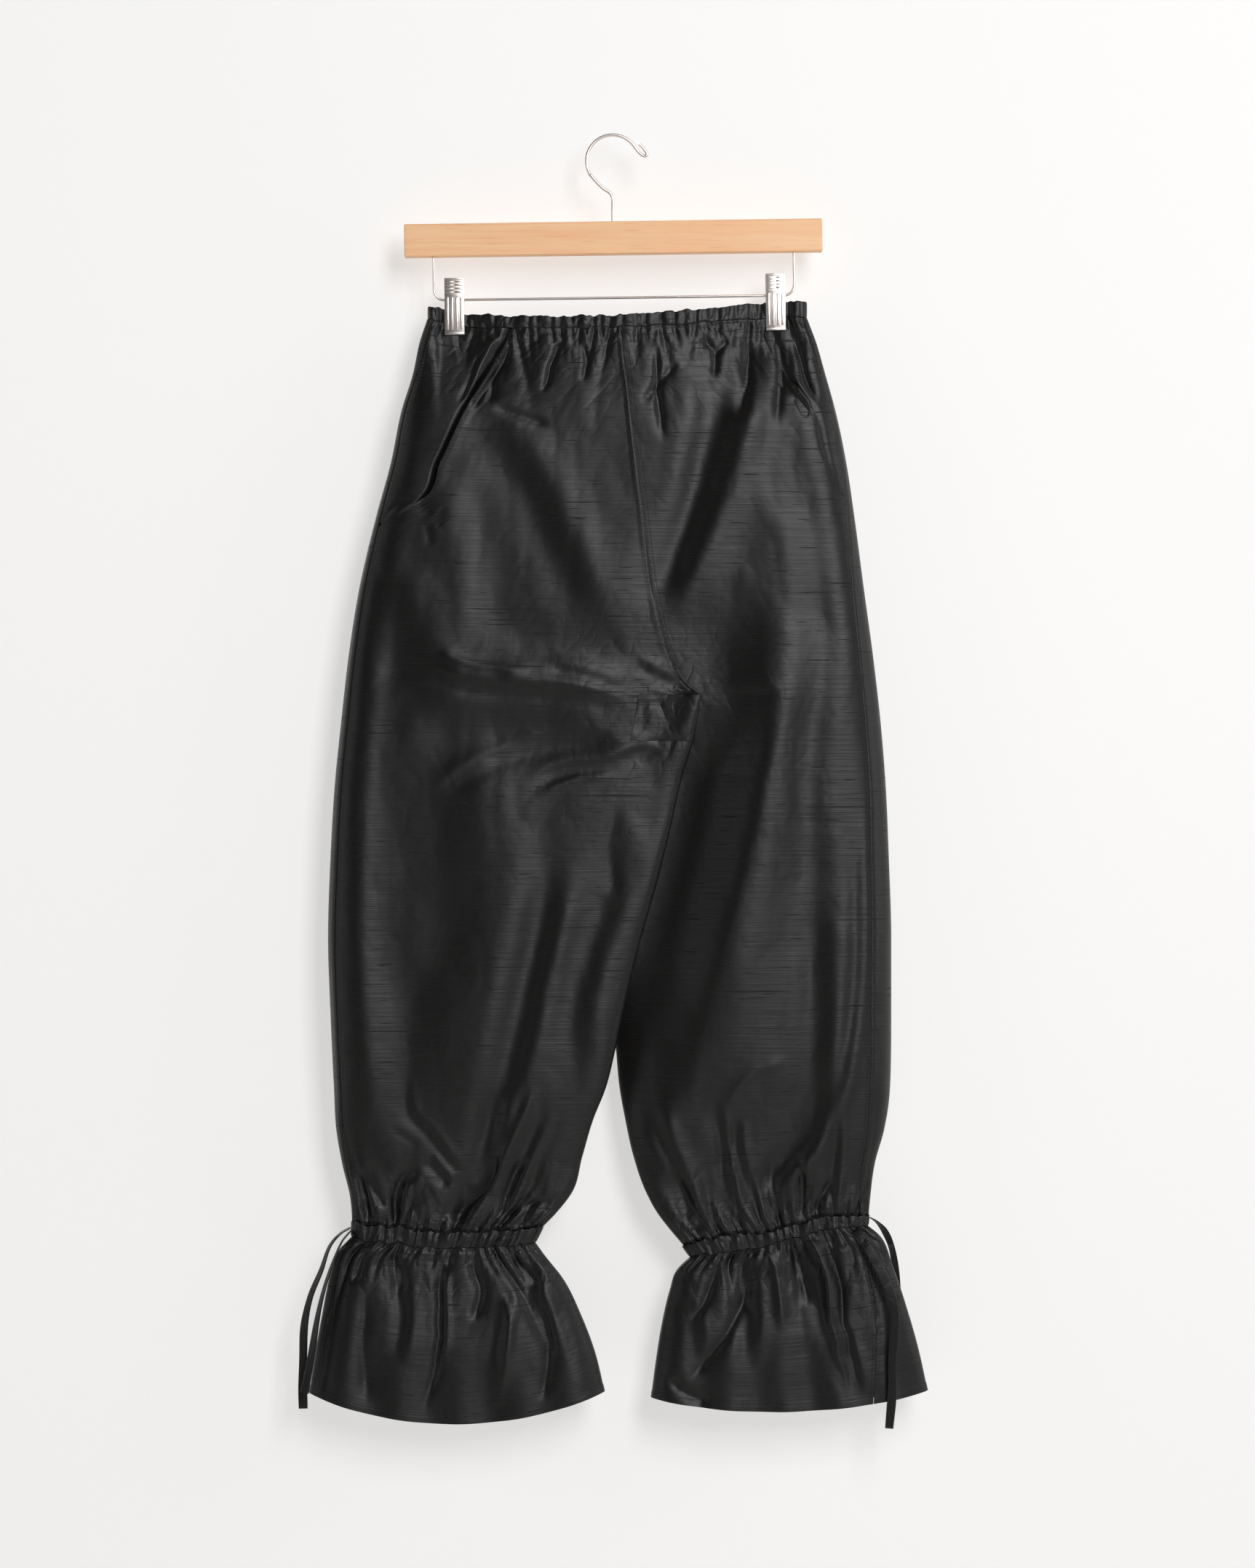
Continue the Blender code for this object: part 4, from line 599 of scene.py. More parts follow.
def cloth_normal(leg, face, x, drop):
    """Outward direction of a layer, worked out from its slopes."""
    step = NORMAL_STEP
    outer, inner = side(leg, drop), inner_edge(leg, drop)
    near_outer = np.abs(x - outer) < np.abs(x - inner)
    aside = np.where(near_outer == (leg == LEFT), step, -step)
    shift = np.where(near_outer, side(leg, drop + step) - outer, inner_edge(leg, drop + step) - inner)
    here = cloth_depth(leg, face, x, drop)
    across_y = (cloth_depth(leg, face, x + aside, drop) - here) / aside
    down_y = (cloth_depth(leg, face, x + shift, drop + step) - here) / step
    across = np.stack([np.ones_like(x), across_y, np.zeros_like(x)], axis=-1)
    down = np.stack([shift / step, down_y, -np.ones_like(x)], axis=-1)
    outward = unit(np.cross(down, across))
    return outward if face == FRONT else -outward


def level_normal(outward, level):
    """Outward directions turned level at the waist seam and at the ankle seam."""
    seam = smooth((PANEL_TOP + WAIST_LEVELLING - level) / WAIST_LEVELLING)
    seam = seam + smooth((level - PANEL_BOTTOM + ANKLE_LEVELLING) / ANKLE_LEVELLING)
    return levelled(outward, seam)


def levelled(outward, share):
    """Outward directions with a share of their slope taken away."""
    level = np.ones_like(share)
    return unit(outward * np.stack([level, level, 1 - share], axis=-1))


def clip_pinch(x):
    """Share of the gathers left where a clip presses the cloth."""
    pressed = sum(np.exp(-((x - centre) / CLIP_PINCH) ** 4) for centre in CLIP_X)
    return 1 - CLIP_PRESS * np.clip(pressed, 0, 1)


# Creases and gathers

def rounded_line(places, steps):
    """Points on a smooth line through the places."""
    places = np.array(places, float)
    padded = np.concatenate([[2 * places[0] - places[1]], places, [2 * places[-1] - places[-2]]])
    points = []
    for index in range(1, len(padded) - 2):
        before, start, end, after = padded[index - 1:index + 3]
        for step in range(steps):
            share = step / steps
            points.append(
                start
                + 0.5 * share * (end - before)
                + share ** 2 * (before - 2.5 * start + 2 * end - 0.5 * after)
                + share ** 3 * (1.5 * start - 0.5 * before - 1.5 * end + 0.5 * after)
            )
    points.append(places[-1])
    return np.array(points)


def from_line(line, x, drop):
    """Distance from a line, positive on its right going down it, and the share of its length."""
    away = np.full(len(x), 1e9)
    across = np.zeros(len(x))
    share = np.zeros(len(x))
    for index in range(len(line) - 1):
        start, run = line[index], line[index + 1] - line[index]
        length = max(math.hypot(*run), 1e-6)
        along = ((x - start[0]) * run[0] + (drop - start[1]) * run[1]) / length ** 2
        along = np.clip(along, 0, 1)
        far = np.hypot(x - start[0] - along * run[0], drop - start[1] - along * run[1])
        turn = (x - start[0]) * run[1] - (drop - start[1]) * run[0]
        closer = far < away
        away = np.where(closer, far, away)
        across = np.where(closer, np.sign(turn) * far, across)
        share = np.where(closer, (index + along) / (len(line) - 1), share)
    return across, share


def on_side(rows, face):
    """The rows' rounded lines on one side; the back has them mirrored and a little moved."""
    rng = np.random.default_rng(11)
    found = []
    for row in rows:
        line = rounded_line(row.line, LINE_STEPS)
        if face == BACK:
            moved = rng.uniform(-BACK_LINE_SHIFT, BACK_LINE_SHIFT, 2)
            line = np.stack([2 * CENTRE_X - line[:, 0] + moved[0], line[:, 1] + moved[1]], axis=1)
        found.append((row, line))
    return found


def sharp_profile(across):
    """Cross-section of a crease, keen at its middle."""
    away = np.sqrt(across * across + PROFILE_BLUNTNESS) - PROFILE_TIP
    return np.exp(-PROFILE_FALL * away)


def relief(face, x, drop, wander, rows, shape_of):
    """Sum of the rows' shapes on one side, each fading at its ends."""
    total = np.zeros(np.shape(x))
    wander_x = x + wander * noise(x / WANDER_SPACING, drop / WANDER_SPACING, 3)
    wander_drop = drop + wander * noise(x / WANDER_SPACING, drop / WANDER_SPACING, 4)
    for row, line in on_side(rows, face):
        reach = LINE_REACH * row.width
        low, high = line.min(axis=0) - reach, line.max(axis=0) + reach
        near = (x > low[0]) & (x < high[0]) & (drop > low[1]) & (drop < high[1])
        if not near.any():
            continue
        across, share = from_line(line, wander_x[near], wander_drop[near])
        ends = smooth(np.minimum(share, 1 - share) / LINE_END_SHARE)
        total[near] += ends * shape_of(row, across / row.width)
    return total


def crease_shape(row, across):
    return CREASE_SCALE * row.depth * sharp_profile(across * CREASE_NARROWING)


def band_shape(row, across):
    bell = np.exp(-across * across)
    turned = across * np.exp(-(across / TILT_SPREAD) ** 2)
    return row.depth * bell - row.tilt * row.width * turned


def relief_grid(face):
    """Soft folds of one side, and its creases and wrinkles, on a grid."""
    columns, rows = RELIEF_SIZE
    x = RELIEF_START[0] + RELIEF_STEP * np.arange(columns)
    drop = RELIEF_START[1] + RELIEF_STEP * np.arange(rows)
    x, drop = (values.ravel() for values in np.meshgrid(x, drop))
    soft = relief(face, x, drop, 0.0, BANDS, band_shape)
    sharp = relief(face, x, drop, CREASE_WANDER, CREASES, crease_shape)
    sharp = sharp + wrinkle_depth(x, drop, 40 if face == FRONT else 60)
    return soft.reshape(rows, columns), sharp.reshape(rows, columns)


def on_grid(values, x, drop):
    """Value of a relief grid at places between its points."""
    rows, columns = values.shape
    across = np.clip((x - RELIEF_START[0]) / RELIEF_STEP, 0, columns - 1.001)
    down = np.clip((drop - RELIEF_START[1]) / RELIEF_STEP, 0, rows - 1.001)
    column, row = across.astype(int), down.astype(int)
    right, lower = across - column, down - row
    upper = mix(values[row, column], values[row, column + 1], right)
    under = mix(values[row + 1, column], values[row + 1, column + 1], right)
    return mix(upper, under, lower)


def wrinkle_depth(x, drop, seed):
    """Shallow uneven dents of crisp silk, longer down the cloth than across it."""
    bend = 10 * noise(x / 60, drop / 80, seed)
    soft = noise((x + bend) / 34, (drop + bend) / 62, seed + 1)
    crisp = np.abs(noise((x - bend) / 21, (drop + 2 * bend) / 33, seed + 2))
    fine = np.abs(noise((x + 0.4 * drop) / 9, (drop - 0.3 * x) / 12, seed + 3))
    return 0.7 * soft - 0.45 * crisp - 0.12 * fine


RELIEF = {face: relief_grid(face) for face in (FRONT, BACK)}


def fold_depth(face, x, drop):
    """Depth of the soft folds on one side."""
    return on_grid(RELIEF[face][0], x, drop)


def crease_depth(face, x, drop):
    """Depth of the creases and wrinkles on one side."""
    return on_grid(RELIEF[face][1], x, drop)


Gather = namedtuple("Gather", "place width depth length lean")


LONG_GATHERS = 0.28
LONG_GATHER_LENGTH = 2.2
LONG_GATHER_DEPTH = 1.25
GATHER_SHIFT = 0.34
GATHER_WIDTHS = (0.22, 0.36)
GATHER_LEAN = 0.22


def make_gathers(start, end, count, seed, depths, lengths):
    """Uneven gathers along a seam."""
    rng = np.random.default_rng(seed)
    pitch = (end - start) / count
    gathers = []
    for index in range(count):
        long_one = rng.random() < LONG_GATHERS
        length = rng.uniform(*lengths) * (LONG_GATHER_LENGTH if long_one else 1)
        gathers.append(Gather(
            start + pitch * (index + 0.5 + rng.uniform(-GATHER_SHIFT, GATHER_SHIFT)),
            pitch * rng.uniform(*GATHER_WIDTHS),
            rng.uniform(*depths) * (LONG_GATHER_DEPTH if long_one else 1),
            length,
            rng.uniform(-GATHER_LEAN, GATHER_LEAN),
        ))
    return gathers


SEAM_HOLD = 0.33
SEAM_HOLD_LENGTH = 5
GATHER_WIDENING = 30
GATHER_FADE_POWER = 1.4


def gathered(gathers, place, below):
    """Depth of the gathers at a place along the seam, which holds them in, and a distance from it."""
    total = np.zeros(np.shape(place))
    for gather in gathers:
        width = gather.width * (1 + below / GATHER_WIDENING)
        across = (place - gather.place - gather.lean * below) / width
        fade = np.exp(-(below / gather.length) ** GATHER_FADE_POWER)
        total += gather.depth * sharp_profile(across) * fade
    return total * mix(SEAM_HOLD, 1, smooth(below / SEAM_HOLD_LENGTH))


ANKLE_WIDTH = {LEFT: 156, RIGHT: 151}
WAIST_SPAN = (-156, 164)
WAIST_GATHER_DEPTHS = (1.3, 3.2)
WAIST_GATHER_LENGTHS = (8, 22)
ANKLE_GATHER_DEPTHS = (2.0, 5.4)
ANKLE_GATHER_LENGTHS = (8, 26)
WAIST_GATHERS = {
    face: make_gathers(*WAIST_SPAN, BAND_GATHERS, seed, WAIST_GATHER_DEPTHS, WAIST_GATHER_LENGTHS)
    for seed, face in enumerate((FRONT, BACK), 5)
}
ANKLE_GATHERS = {
    (leg, face): make_gathers(
        0, ANKLE_WIDTH[leg], CASING_GATHERS, seed, ANKLE_GATHER_DEPTHS, ANKLE_GATHER_LENGTHS
    )
    for seed, (leg, face) in enumerate([(LEFT, FRONT), (LEFT, BACK), (RIGHT, FRONT), (RIGHT, BACK)], 20)
}


def ankle_place(leg, x, drop):
    """Place along the ankle seam, in millimetres from its outer end, that the cloth at x is gathered to."""
    share = (x - side(leg, drop)) / (inner_edge(leg, drop) - side(leg, drop))
    return np.clip(share, 0, 1) * ANKLE_WIDTH[leg]


# Cloth swelling beside a gathered seam: its height, how soon it rises and how far it reaches
Puff = namedtuple("Puff", "height rise length")
WAIST_PUFF = Puff(1.6, 9, 22)
ANKLE_PUFF = Puff(2.2, 9, 26)
RUFFLE_PUFF = Puff(1.8, 8, 24)
CREASE_EDGE_FADE = 9
CREASE_WAIST_FADE = 14
CREASE_ANKLE_FADE = 10
GATHER_EDGE_FADE = 7


def puffed(puff, below):
    return puff.height * smooth(below / puff.rise) * np.exp(-below / puff.length)


def panel_detail(leg, face, x, drop, level):
    """Creases, wrinkles and gathers of a leg's cloth; positive is a dent."""
    from_side = toward_centre(leg) * (x - side(leg, drop))
    from_inner = toward_centre(leg) * (inner_edge(leg, drop) - x)
    from_inner = np.where(drop >= CROTCH_DROP, from_inner, INSEAM_ROUND)
    below, above = level - PANEL_TOP, PANEL_BOTTOM - level
    open_cloth = smooth(from_side / CREASE_EDGE_FADE) * smooth(from_inner / CREASE_EDGE_FADE)
    if is_tucked(leg, face):
        open_cloth = open_cloth * (1 - tuck_share(leg, x, drop))
    fade = smooth(below / CREASE_WAIST_FADE) * smooth(above / CREASE_ANKLE_FADE)
    dents = open_cloth * fade * crease_depth(face, x, drop)
    waist = gathered(WAIST_GATHERS[face], x, below) - puffed(WAIST_PUFF, below)
    ankle = gathered(ANKLE_GATHERS[leg, face], ankle_place(leg, x, drop), above) - puffed(ANKLE_PUFF, above)
    ends = smooth(from_side / GATHER_EDGE_FADE) * smooth(from_inner / GATHER_EDGE_FADE)
    return dents + (waist * clip_pinch(x) + ankle) * ends


RIDGE_HEIGHT = 0.55
RIDGE_RISE = 0.6
RIDGE_FALL = 0.8
RIDGE_WIDTH = 4.2


def seam_ridge(gap):
    """Height of the felled seam's raised strip beside its edge."""
    return RIDGE_HEIGHT * smooth(gap / RIDGE_RISE) * smooth((RIDGE_WIDTH - gap) / RIDGE_FALL)


# Leg panels

ANKLE_WOBBLE = 1.6
WOBBLE_LENGTH = 7


def seam_wobble(x):
    """How far the gathers push the waist and ankle seams up and down."""
    return 1.0 * noise(x / 6, x / 200, 90) + 0.7 * noise(x / 2.8, x / 200, 91)


def cloth_drop(leg, level, x):
    """Drop of a panel's level row at x: it follows the waist seam and the ankle seam."""
    waist = (read(WAIST, "seam", x) - PANEL_TOP) * (1 - smooth((level - PANEL_TOP) / TOP_FADE))
    below, above = level - PANEL_TOP, PANEL_BOTTOM - level
    ankle = read(ANKLES, leg + "_top", ankle_share(leg, x)) - PANEL_BOTTOM
    ankle = ankle * smooth(1 - above / BOTTOM_FADE)
    near_seam = np.exp(-below / WOBBLE_LENGTH) + ANKLE_WOBBLE * np.exp(-above / WOBBLE_LENGTH)
    return level + waist + ankle + seam_wobble(x) * near_seam


def end_x(leg, level, edge):
    """Where a row meets one of the panel's edge curves."""
    x = edge(level)
    for _ in range(EDGE_STEPS):
        x = edge(cloth_drop(leg, level, x))
    return x


def ease(share, soft_start, soft_end):
    """Spacing of columns, closer together at a folded end."""
    if soft_start and soft_end:
        return (1 - np.cos(np.pi * share)) / 2
    if soft_start:
        return 1 - np.cos(np.pi * share / 2)
    if soft_end:
        return np.sin(np.pi * share / 2)
    return share


def is_tucked(leg, face):
    """The left leg's back and the right leg's front hang between the two legs."""
    return (face == BACK) == (leg == LEFT)


def inner_columns(leg, face):
    """Columns beyond a panel's main block."""
    return 2 * GUSSET_COLUMNS if is_tucked(leg, face) else GUSSET_COLUMNS


def main_share(leg, face, level):
    """Share of a panel's width that its main block takes."""
    columns = OUTER_COLUMNS + inner_columns(leg, face)
    even = OUTER_COLUMNS / columns
    if not is_tucked(leg, face):
        return even
    other = rise_seam(FRONT if leg == RIGHT else BACK, CROTCH_DROP)
    own = inner_edge(leg, CROTCH_DROP)
    outer = side(leg, CROTCH_DROP)
    at_crotch = (other - outer) / (own - outer)
    return mix(at_crotch, even, smooth((level - COLUMN_EASE_START) / COLUMN_EASE_LENGTH))


def by_gusset(leg, even_x, own, level):
    """A block's edge, moved onto the gusset's edge beside the gusset."""
    if leg == RIGHT:
        return even_x
    beside = (GUSSET_BOTTOM - CROTCH_DROP) / 2
    away = np.abs(level - CROTCH_DROP - beside) - beside
    return mix(own - GUSSET_WIDTH, even_x, smooth(away / GUSSET_EASE))


def column_x(leg, face, column, level):
    """Horizontal place of a panel's column on a level row."""
    edge = front_seam if face == FRONT else side
    outer = end_x(leg, level, lambda drop: edge(leg, drop))
    own = end_x(leg, level, lambda drop: inner_edge(leg, drop))
    split = outer + main_share(leg, face, level) * (own - outer)
    below = level >= CROTCH_DROP
    inner = inner_columns(leg, face)
    if is_tucked(leg, face):
        other = end_x(leg, level, lambda drop: rise_seam(FRONT if leg == RIGHT else BACK, drop))
        split = np.where(below, split, other)
    else:
        split = by_gusset(leg, split, own, level)
    main = mix(outer, split, ease(np.clip(column / OUTER_COLUMNS, 0, 1), face == BACK, False))
    share = np.clip((column - OUTER_COLUMNS) / inner, 0, 1)
    share = np.where(below, ease(share, False, True), share)
    x = np.where(column <= OUTER_COLUMNS, main, mix(split, own, share))
    if is_tucked(leg, face) and leg == LEFT:
        x = np.where(column > OUTER_COLUMNS, back_extension_x(split, own, column, level), x)
    if face == BACK:
        seam = end_x(leg, level, lambda drop: side_seam(leg, drop))
        wrapped = mix(outer, seam, ease(np.clip(-column / WRAP_COLUMNS, 0, 1), True, False))
        x = np.where(column < 0, wrapped, x)
    return x


def back_extension_x(split, own, column, level):
    """Columns of the left leg's back below the crotch, which meet the gusset's edge."""
    gusset_start = OUTER_COLUMNS + GUSSET_COLUMNS
    edge = by_gusset(LEFT, (split + own) / 2, own, level)
    to_edge = mix(split, edge, (column - OUTER_COLUMNS) / GUSSET_COLUMNS)
    to_fold = mix(edge, own, ease(np.clip((column - gusset_start) / GUSSET_COLUMNS, 0, 1), False, True))
    return np.where(column <= gusset_start, to_edge, to_fold)


def fine_rows(top, bottom):
    """Level rows from top to bottom, closer together at the gathers."""
    levels = []
    for run, after in zip(PANEL_RUNS, PANEL_RUNS[1:]):
        count = round((after.start - run.start) / run.step)
        levels += [run.start + (after.start - run.start) * step / count for step in range(count)]
    for exact in (CROTCH_DROP, GUSSET_BOTTOM, top, bottom):
        nearest = min(range(len(levels)), key=lambda index: abs(levels[index] - exact))
        levels[nearest] = exact
    levels.append(PANEL_BOTTOM)
    return [level for level in levels if top <= level <= bottom]


ROW_LEVELS = fine_rows(PANEL_TOP, PANEL_BOTTOM)


def panel_blocks(leg, face):
    """Column and row ranges of cloth in a panel, leaving out what the pattern cuts away."""
    crotch = ROW_LEVELS.index(CROTCH_DROP)
    gusset_end = ROW_LEVELS.index(GUSSET_BOTTOM)
    bottom = len(ROW_LEVELS) - 1
    start = -WRAP_COLUMNS if face == BACK else 0
    last = OUTER_COLUMNS + inner_columns(leg, face)
    main = (start, OUTER_COLUMNS, 0, bottom)
    if is_tucked(leg, face):
        if leg == RIGHT:
            return [main, (OUTER_COLUMNS, last, crotch, bottom)]
        near = last - GUSSET_COLUMNS
        return [main, (OUTER_COLUMNS, near, crotch, bottom), (near, last, gusset_end, bottom)]
    if leg == RIGHT:
        return [(start, last, 0, bottom)]
    return [main, (OUTER_COLUMNS, last, 0, crotch), (OUTER_COLUMNS, last, gusset_end, bottom)]


def lay_out(blocks, density):
    """Vertex keys (row, column) and faces of a panel's blocks."""
    keys = {}
    faces = []
    for first, last, top, bottom in blocks:
        previous = None
        for row in range(top, bottom + 1):
            line = []
            for step in range(round((last - first) * density) + 1):
                key = (row, round(first * density) + step)
                line.append(keys.setdefault(key, len(keys)))
            if previous is not None:
                faces += [
                    (previous[i], previous[i + 1], line[i + 1], line[i])
                    for i in range(len(line) - 1)
                ]
            previous = line
    return list(keys), faces


def sheet_grid(blocks, density):
    """Keys and faces of the blocks, and the row and column of each key."""
    keys, faces = lay_out(blocks, density)
    rows = np.array([row for row, _ in keys])
    columns = np.array([column for _, column in keys], float) / density
    return keys, faces, rows, columns


def walked(keys, points, start_column):
    """Distance along each row of a sheet, measured on the cloth from one column."""
    rows = {}
    for index, (row, column) in enumerate(keys):
        rows.setdefault(row, []).append((column, index))
    along = np.zeros(len(keys))
    for line in rows.values():
        line.sort()
        order = [index for _, index in line]
        steps = np.linalg.norm(np.diff(points[order], axis=0), axis=1)
        run = np.concatenate([[0], np.cumsum(steps)])
        columns = np.array([column for column, _ in line])
        along[order] = run - np.interp(start_column, columns, run)
    return along


# Where each panel's cloth starts, so that no two show the same slubs
CLOTH_PLACES = {(LEFT, FRONT): 0, (RIGHT, FRONT): 1300, (LEFT, BACK): 2600, (RIGHT, BACK): 3900}
POCKET_CLOTH_PLACE = 400
GUSSET_CLOTH_PLACE = 700
NO_EDGE = 99.0


def leg_panel(leg, face):
    """One leg's front or back, from the waist seam to the ankle seam."""
    keys, faces, rows, column = sheet_grid(panel_blocks(leg, face), PANEL_DENSITY)
    level = np.array(ROW_LEVELS, float)[rows]
    x = column_x(leg, face, column, level)
    drop = cloth_drop(leg, level, x)
    on_front = (column < 0) if face == BACK else np.ones(len(keys), bool)
    points, outward = laid(leg, on_front, x, drop)
    outward = level_normal(outward, level)
    cloth = np.stack([walked(keys, points, 0) + CLOTH_PLACES[leg, face], level], axis=-1)
    dent = by_face(on_front, lambda own: panel_detail(leg, own, x, drop, level))
    if face == BACK:
        edge = -toward_centre(leg) * (x - side_seam(leg, drop))
        dent = dent - np.where(on_front, seam_ridge(edge), 0)
    else:
        points[:, 1] -= pocket_lift(leg, x, drop)
        if leg == LEFT:
            dent = dent - np.where(drop < CROTCH_DROP, seam_ridge(rise_seam(FRONT, drop) - x), 0)
    points = points - outward * dent[:, None]
    return Sheet(points, outward, faces, cloth, seam_distance(leg, face, x, drop), far_away(keys))


def laid(leg, on_front, x, drop):
    """Points and outward directions of a leg's cloth before its creases."""
    depth = by_face(on_front, lambda face: cloth_depth(leg, face, x, drop))
    outward = by_face(on_front, lambda face: cloth_normal(leg, face, x, drop))
    return np.stack([x, depth, -drop], axis=-1), outward


def far_away(points):
    """Distances of cloth that has no such edge near."""
    return np.full(len(points), NO_EDGE)


def seam_distance(leg, face, x, drop):
    """How far the cloth is from its nearest lengthwise seam."""
    rise = np.where(drop < CROTCH_DROP, np.abs(rise_seam(face, drop) - x), NO_EDGE)
    edge = np.abs(x - side_seam(leg, drop))
    if face == FRONT:
        edge = np.minimum(edge, np.abs(x - front_seam(leg, drop)))
    return np.minimum(rise, edge)


def pocket_lift(leg, x, drop):
    """The pocket's slanted edge stands away from the side piece."""
    past = toward_centre(leg) * (x - read(POCKETS, leg, drop))
    opening = smooth((drop - GAPE_TOP) / GAPE_RISE) * smooth((GAPE_BOTTOM - drop) / GAPE_FALL)
    opening = opening * (1 - GAPE_DROOP * smooth((drop - GAPE_DROOP_TOP) / GAPE_DROOP_LENGTH))
    return POCKET_GAPE[leg] * opening * np.exp(-(np.maximum(past, 0) / GAPE_WIDTH) ** 2)


def pocket_side(leg):
    """Cloth between the side seam and the slanted pocket edge, running in under it."""
    levels = [level for level in ROW_LEVELS if level < POCKET_END[leg]] + [POCKET_END[leg]]
    block = (0, POCKET_COLUMNS, 0, len(levels) - 1)
    keys, faces, rows, column = sheet_grid([block], PANEL_DENSITY)
    level = np.array(levels, float)[rows]
    seam = end_x(leg, level, lambda drop: side_seam(leg, drop))
    pocket = end_x(leg, level, lambda drop: read(POCKETS, leg, drop))
    pocket = pocket + toward_centre(leg) * POCKET_UNDERLAP
    x = mix(seam, pocket, column / POCKET_COLUMNS)
    drop = cloth_drop(leg, level, x)
    outward = level_normal(cloth_normal(leg, FRONT, x, drop), level)
    points = np.stack([x, cloth_depth(leg, FRONT, x, drop), -drop], axis=-1)
    cloth = np.stack([walked(keys, points, 0) + POCKET_CLOTH_PLACE, level], axis=-1)
    before = np.abs(pocket - x) - POCKET_UNDERLAP
    under = smooth(1 - before / POCKET_EDGE_WIDTH)
    foot = smooth((drop - POCKET_FOOT) / POCKET_FOOT_FADE)
    sink = under * POCKET_EDGE_SINK[leg] * (1 - POCKET_FOOT_LIFT * foot)
    dent = panel_detail(leg, FRONT, x, drop, level) * (1 - under)
    points = points - outward * (dent + sink)[:, None]
    return Sheet(points, outward, faces, cloth, np.abs(x - seam), far_away(keys))


def gusset():
    """Patch at the crotch, from the left leg's front round the inner fold to its back."""
    levels = [level for level in ROW_LEVELS if CROTCH_DROP <= level <= GUSSET_BOTTOM]
    block = (-GUSSET_COLUMNS, GUSSET_COLUMNS, 0, len(levels) - 1)
    keys, faces, rows, column = sheet_grid([block], PANEL_DENSITY)
    level = np.array(levels, float)[rows]
    own = end_x(LEFT, level, lambda drop: inner_edge(LEFT, drop))
    away = 1 - ease(1 - np.abs(column) / GUSSET_COLUMNS, False, True)
    x = own - GUSSET_WIDTH * away
    drop = cloth_drop(LEFT, level, x)
    on_front = column <= 0
    points, outward = laid(LEFT, on_front, x, drop)
    cloth = np.stack([walked(keys, points, 0) + GUSSET_CLOTH_PLACE, level], axis=-1)
    dent = by_face(on_front, lambda face: panel_detail(LEFT, face, x, drop, level))
    points = points - outward * dent[:, None]
    return Sheet(points, outward, faces, cloth, far_away(keys), far_away(keys))


# Waistband and ankle casings

RING_SECTION = 14
SECTION_POWERS = (0.7, 0.35)
BAND_STEPS = 16
CASING_STEPS = 22
EVEN_SHARE = 0.4
BAND_CROWN = 0.55
BAND_SQUEEZE = 0.42
BAND_PINCH_DEPTH = 0.85
BAND_CLOTH_HEIGHT = 11
BAND_CLOTH_PLACE = 900
BAND_END_INSET = 1.4
BAND_END_FADE = 5
BAND_TOP_GAP = 0.3
BAND_OVERLAP = 0.1
CASING_END_FADE = 6
WAIST_FULL_PINCH = 0.73
CASING_FULL_PINCH = 1.12


def ring_ease(columns, column):
    """Walk round a flat ring: share of the width from its start, and the face walked on."""
    half = columns // 2
    on_front = column <= half
    along = np.where(on_front, column / half, (columns - column) / half)
    return (1 - np.cos(np.pi * along)) * (1 - EVEN_SHARE) / 2 + EVEN_SHARE * along, on_front


def ring_normals(x, half, sign, columns):
    """Outward directions round each row of a ring."""
    places = np.stack([x, sign * half], axis=-1).reshape(-1, columns, 2)
    along = np.roll(places, -1, axis=1) - np.roll(places, 1, axis=1)
    turned = unit(np.stack([along[..., 1], -along[..., 0]], axis=-1)).reshape(-1, 2)
    return np.stack([turned[:, 0], turned[:, 1], np.zeros(len(turned))], axis=-1)


def ring_section(half_wall):
    """Outward offset and height of a padded band's cross-section, from its outer side round."""
    points = []
    for step in range(RING_SECTION):
        angle = 2 * math.pi * step / RING_SECTION
        outward = math.copysign(abs(math.cos(angle)) ** SECTION_POWERS[0], math.cos(angle))
        height = math.copysign(abs(math.sin(angle)) ** SECTION_POWERS[1], math.sin(angle))
        points.append((half_wall * outward, (1 + height) / 2))
    return np.array(points)


def ring_band(name, columns, x_of, half_of, top_of, bottom_of, middle_y, pinch_of, flip, ends_of):
    """Padded tube of cloth round the garment, pinched at its gathers."""
    column = np.arange(columns, dtype=float)
    share, on_front = ring_ease(columns, column)
    sign = np.where(on_front, -1.0, 1.0)
    section = ring_section(BAND_HALF_WALL)
    points = []
    for offset, height in section:
        x = x_of(share, 1 - height)
        half = half_of(share)
        outward = ring_normals(x, half, sign, columns) * flip
        pinch = by_face(on_front, lambda face: pinch_of(face, x, share)) * ends_of(share)
        top, bottom = top_of(share), bottom_of(share)
        crown = BAND_CROWN * (2 * height - 1) * pinch
        drop = mix(bottom, top, height) + crown
        lobe = offset * (1 - BAND_SQUEEZE * pinch * (offset > 0))
        lobe = lobe - BAND_PINCH_DEPTH * pinch * max(offset, 0) / BAND_HALF_WALL
        base = np.stack([x, middle_y + sign * half, -drop], axis=-1)
        points.append(base + outward * lobe[:, None])
    points = np.array(points)
    count = len(section)
    faces = []
    for ring in range(count):
        after_ring = (ring + 1) % count
        for start in range(columns):
            after = (start + 1) % columns
            faces.append((
                ring * columns + start,
                ring * columns + after,
                after_ring * columns + after,
                after_ring * columns + start,
            ))
    flat = points.reshape(-1, 3)
    around = np.tile(walked([(0, c) for c in range(columns)], points[0], 0), count)
    heights = np.repeat(section[:, 1], columns) * BAND_CLOTH_HEIGHT
    cloth = np.stack([around, heights + BAND_CLOTH_PLACE], axis=-1)
    faces = outward_faces(flat, faces)
    return make_cloth(name, flat, faces, cloth, far_away(flat), far_away(flat))


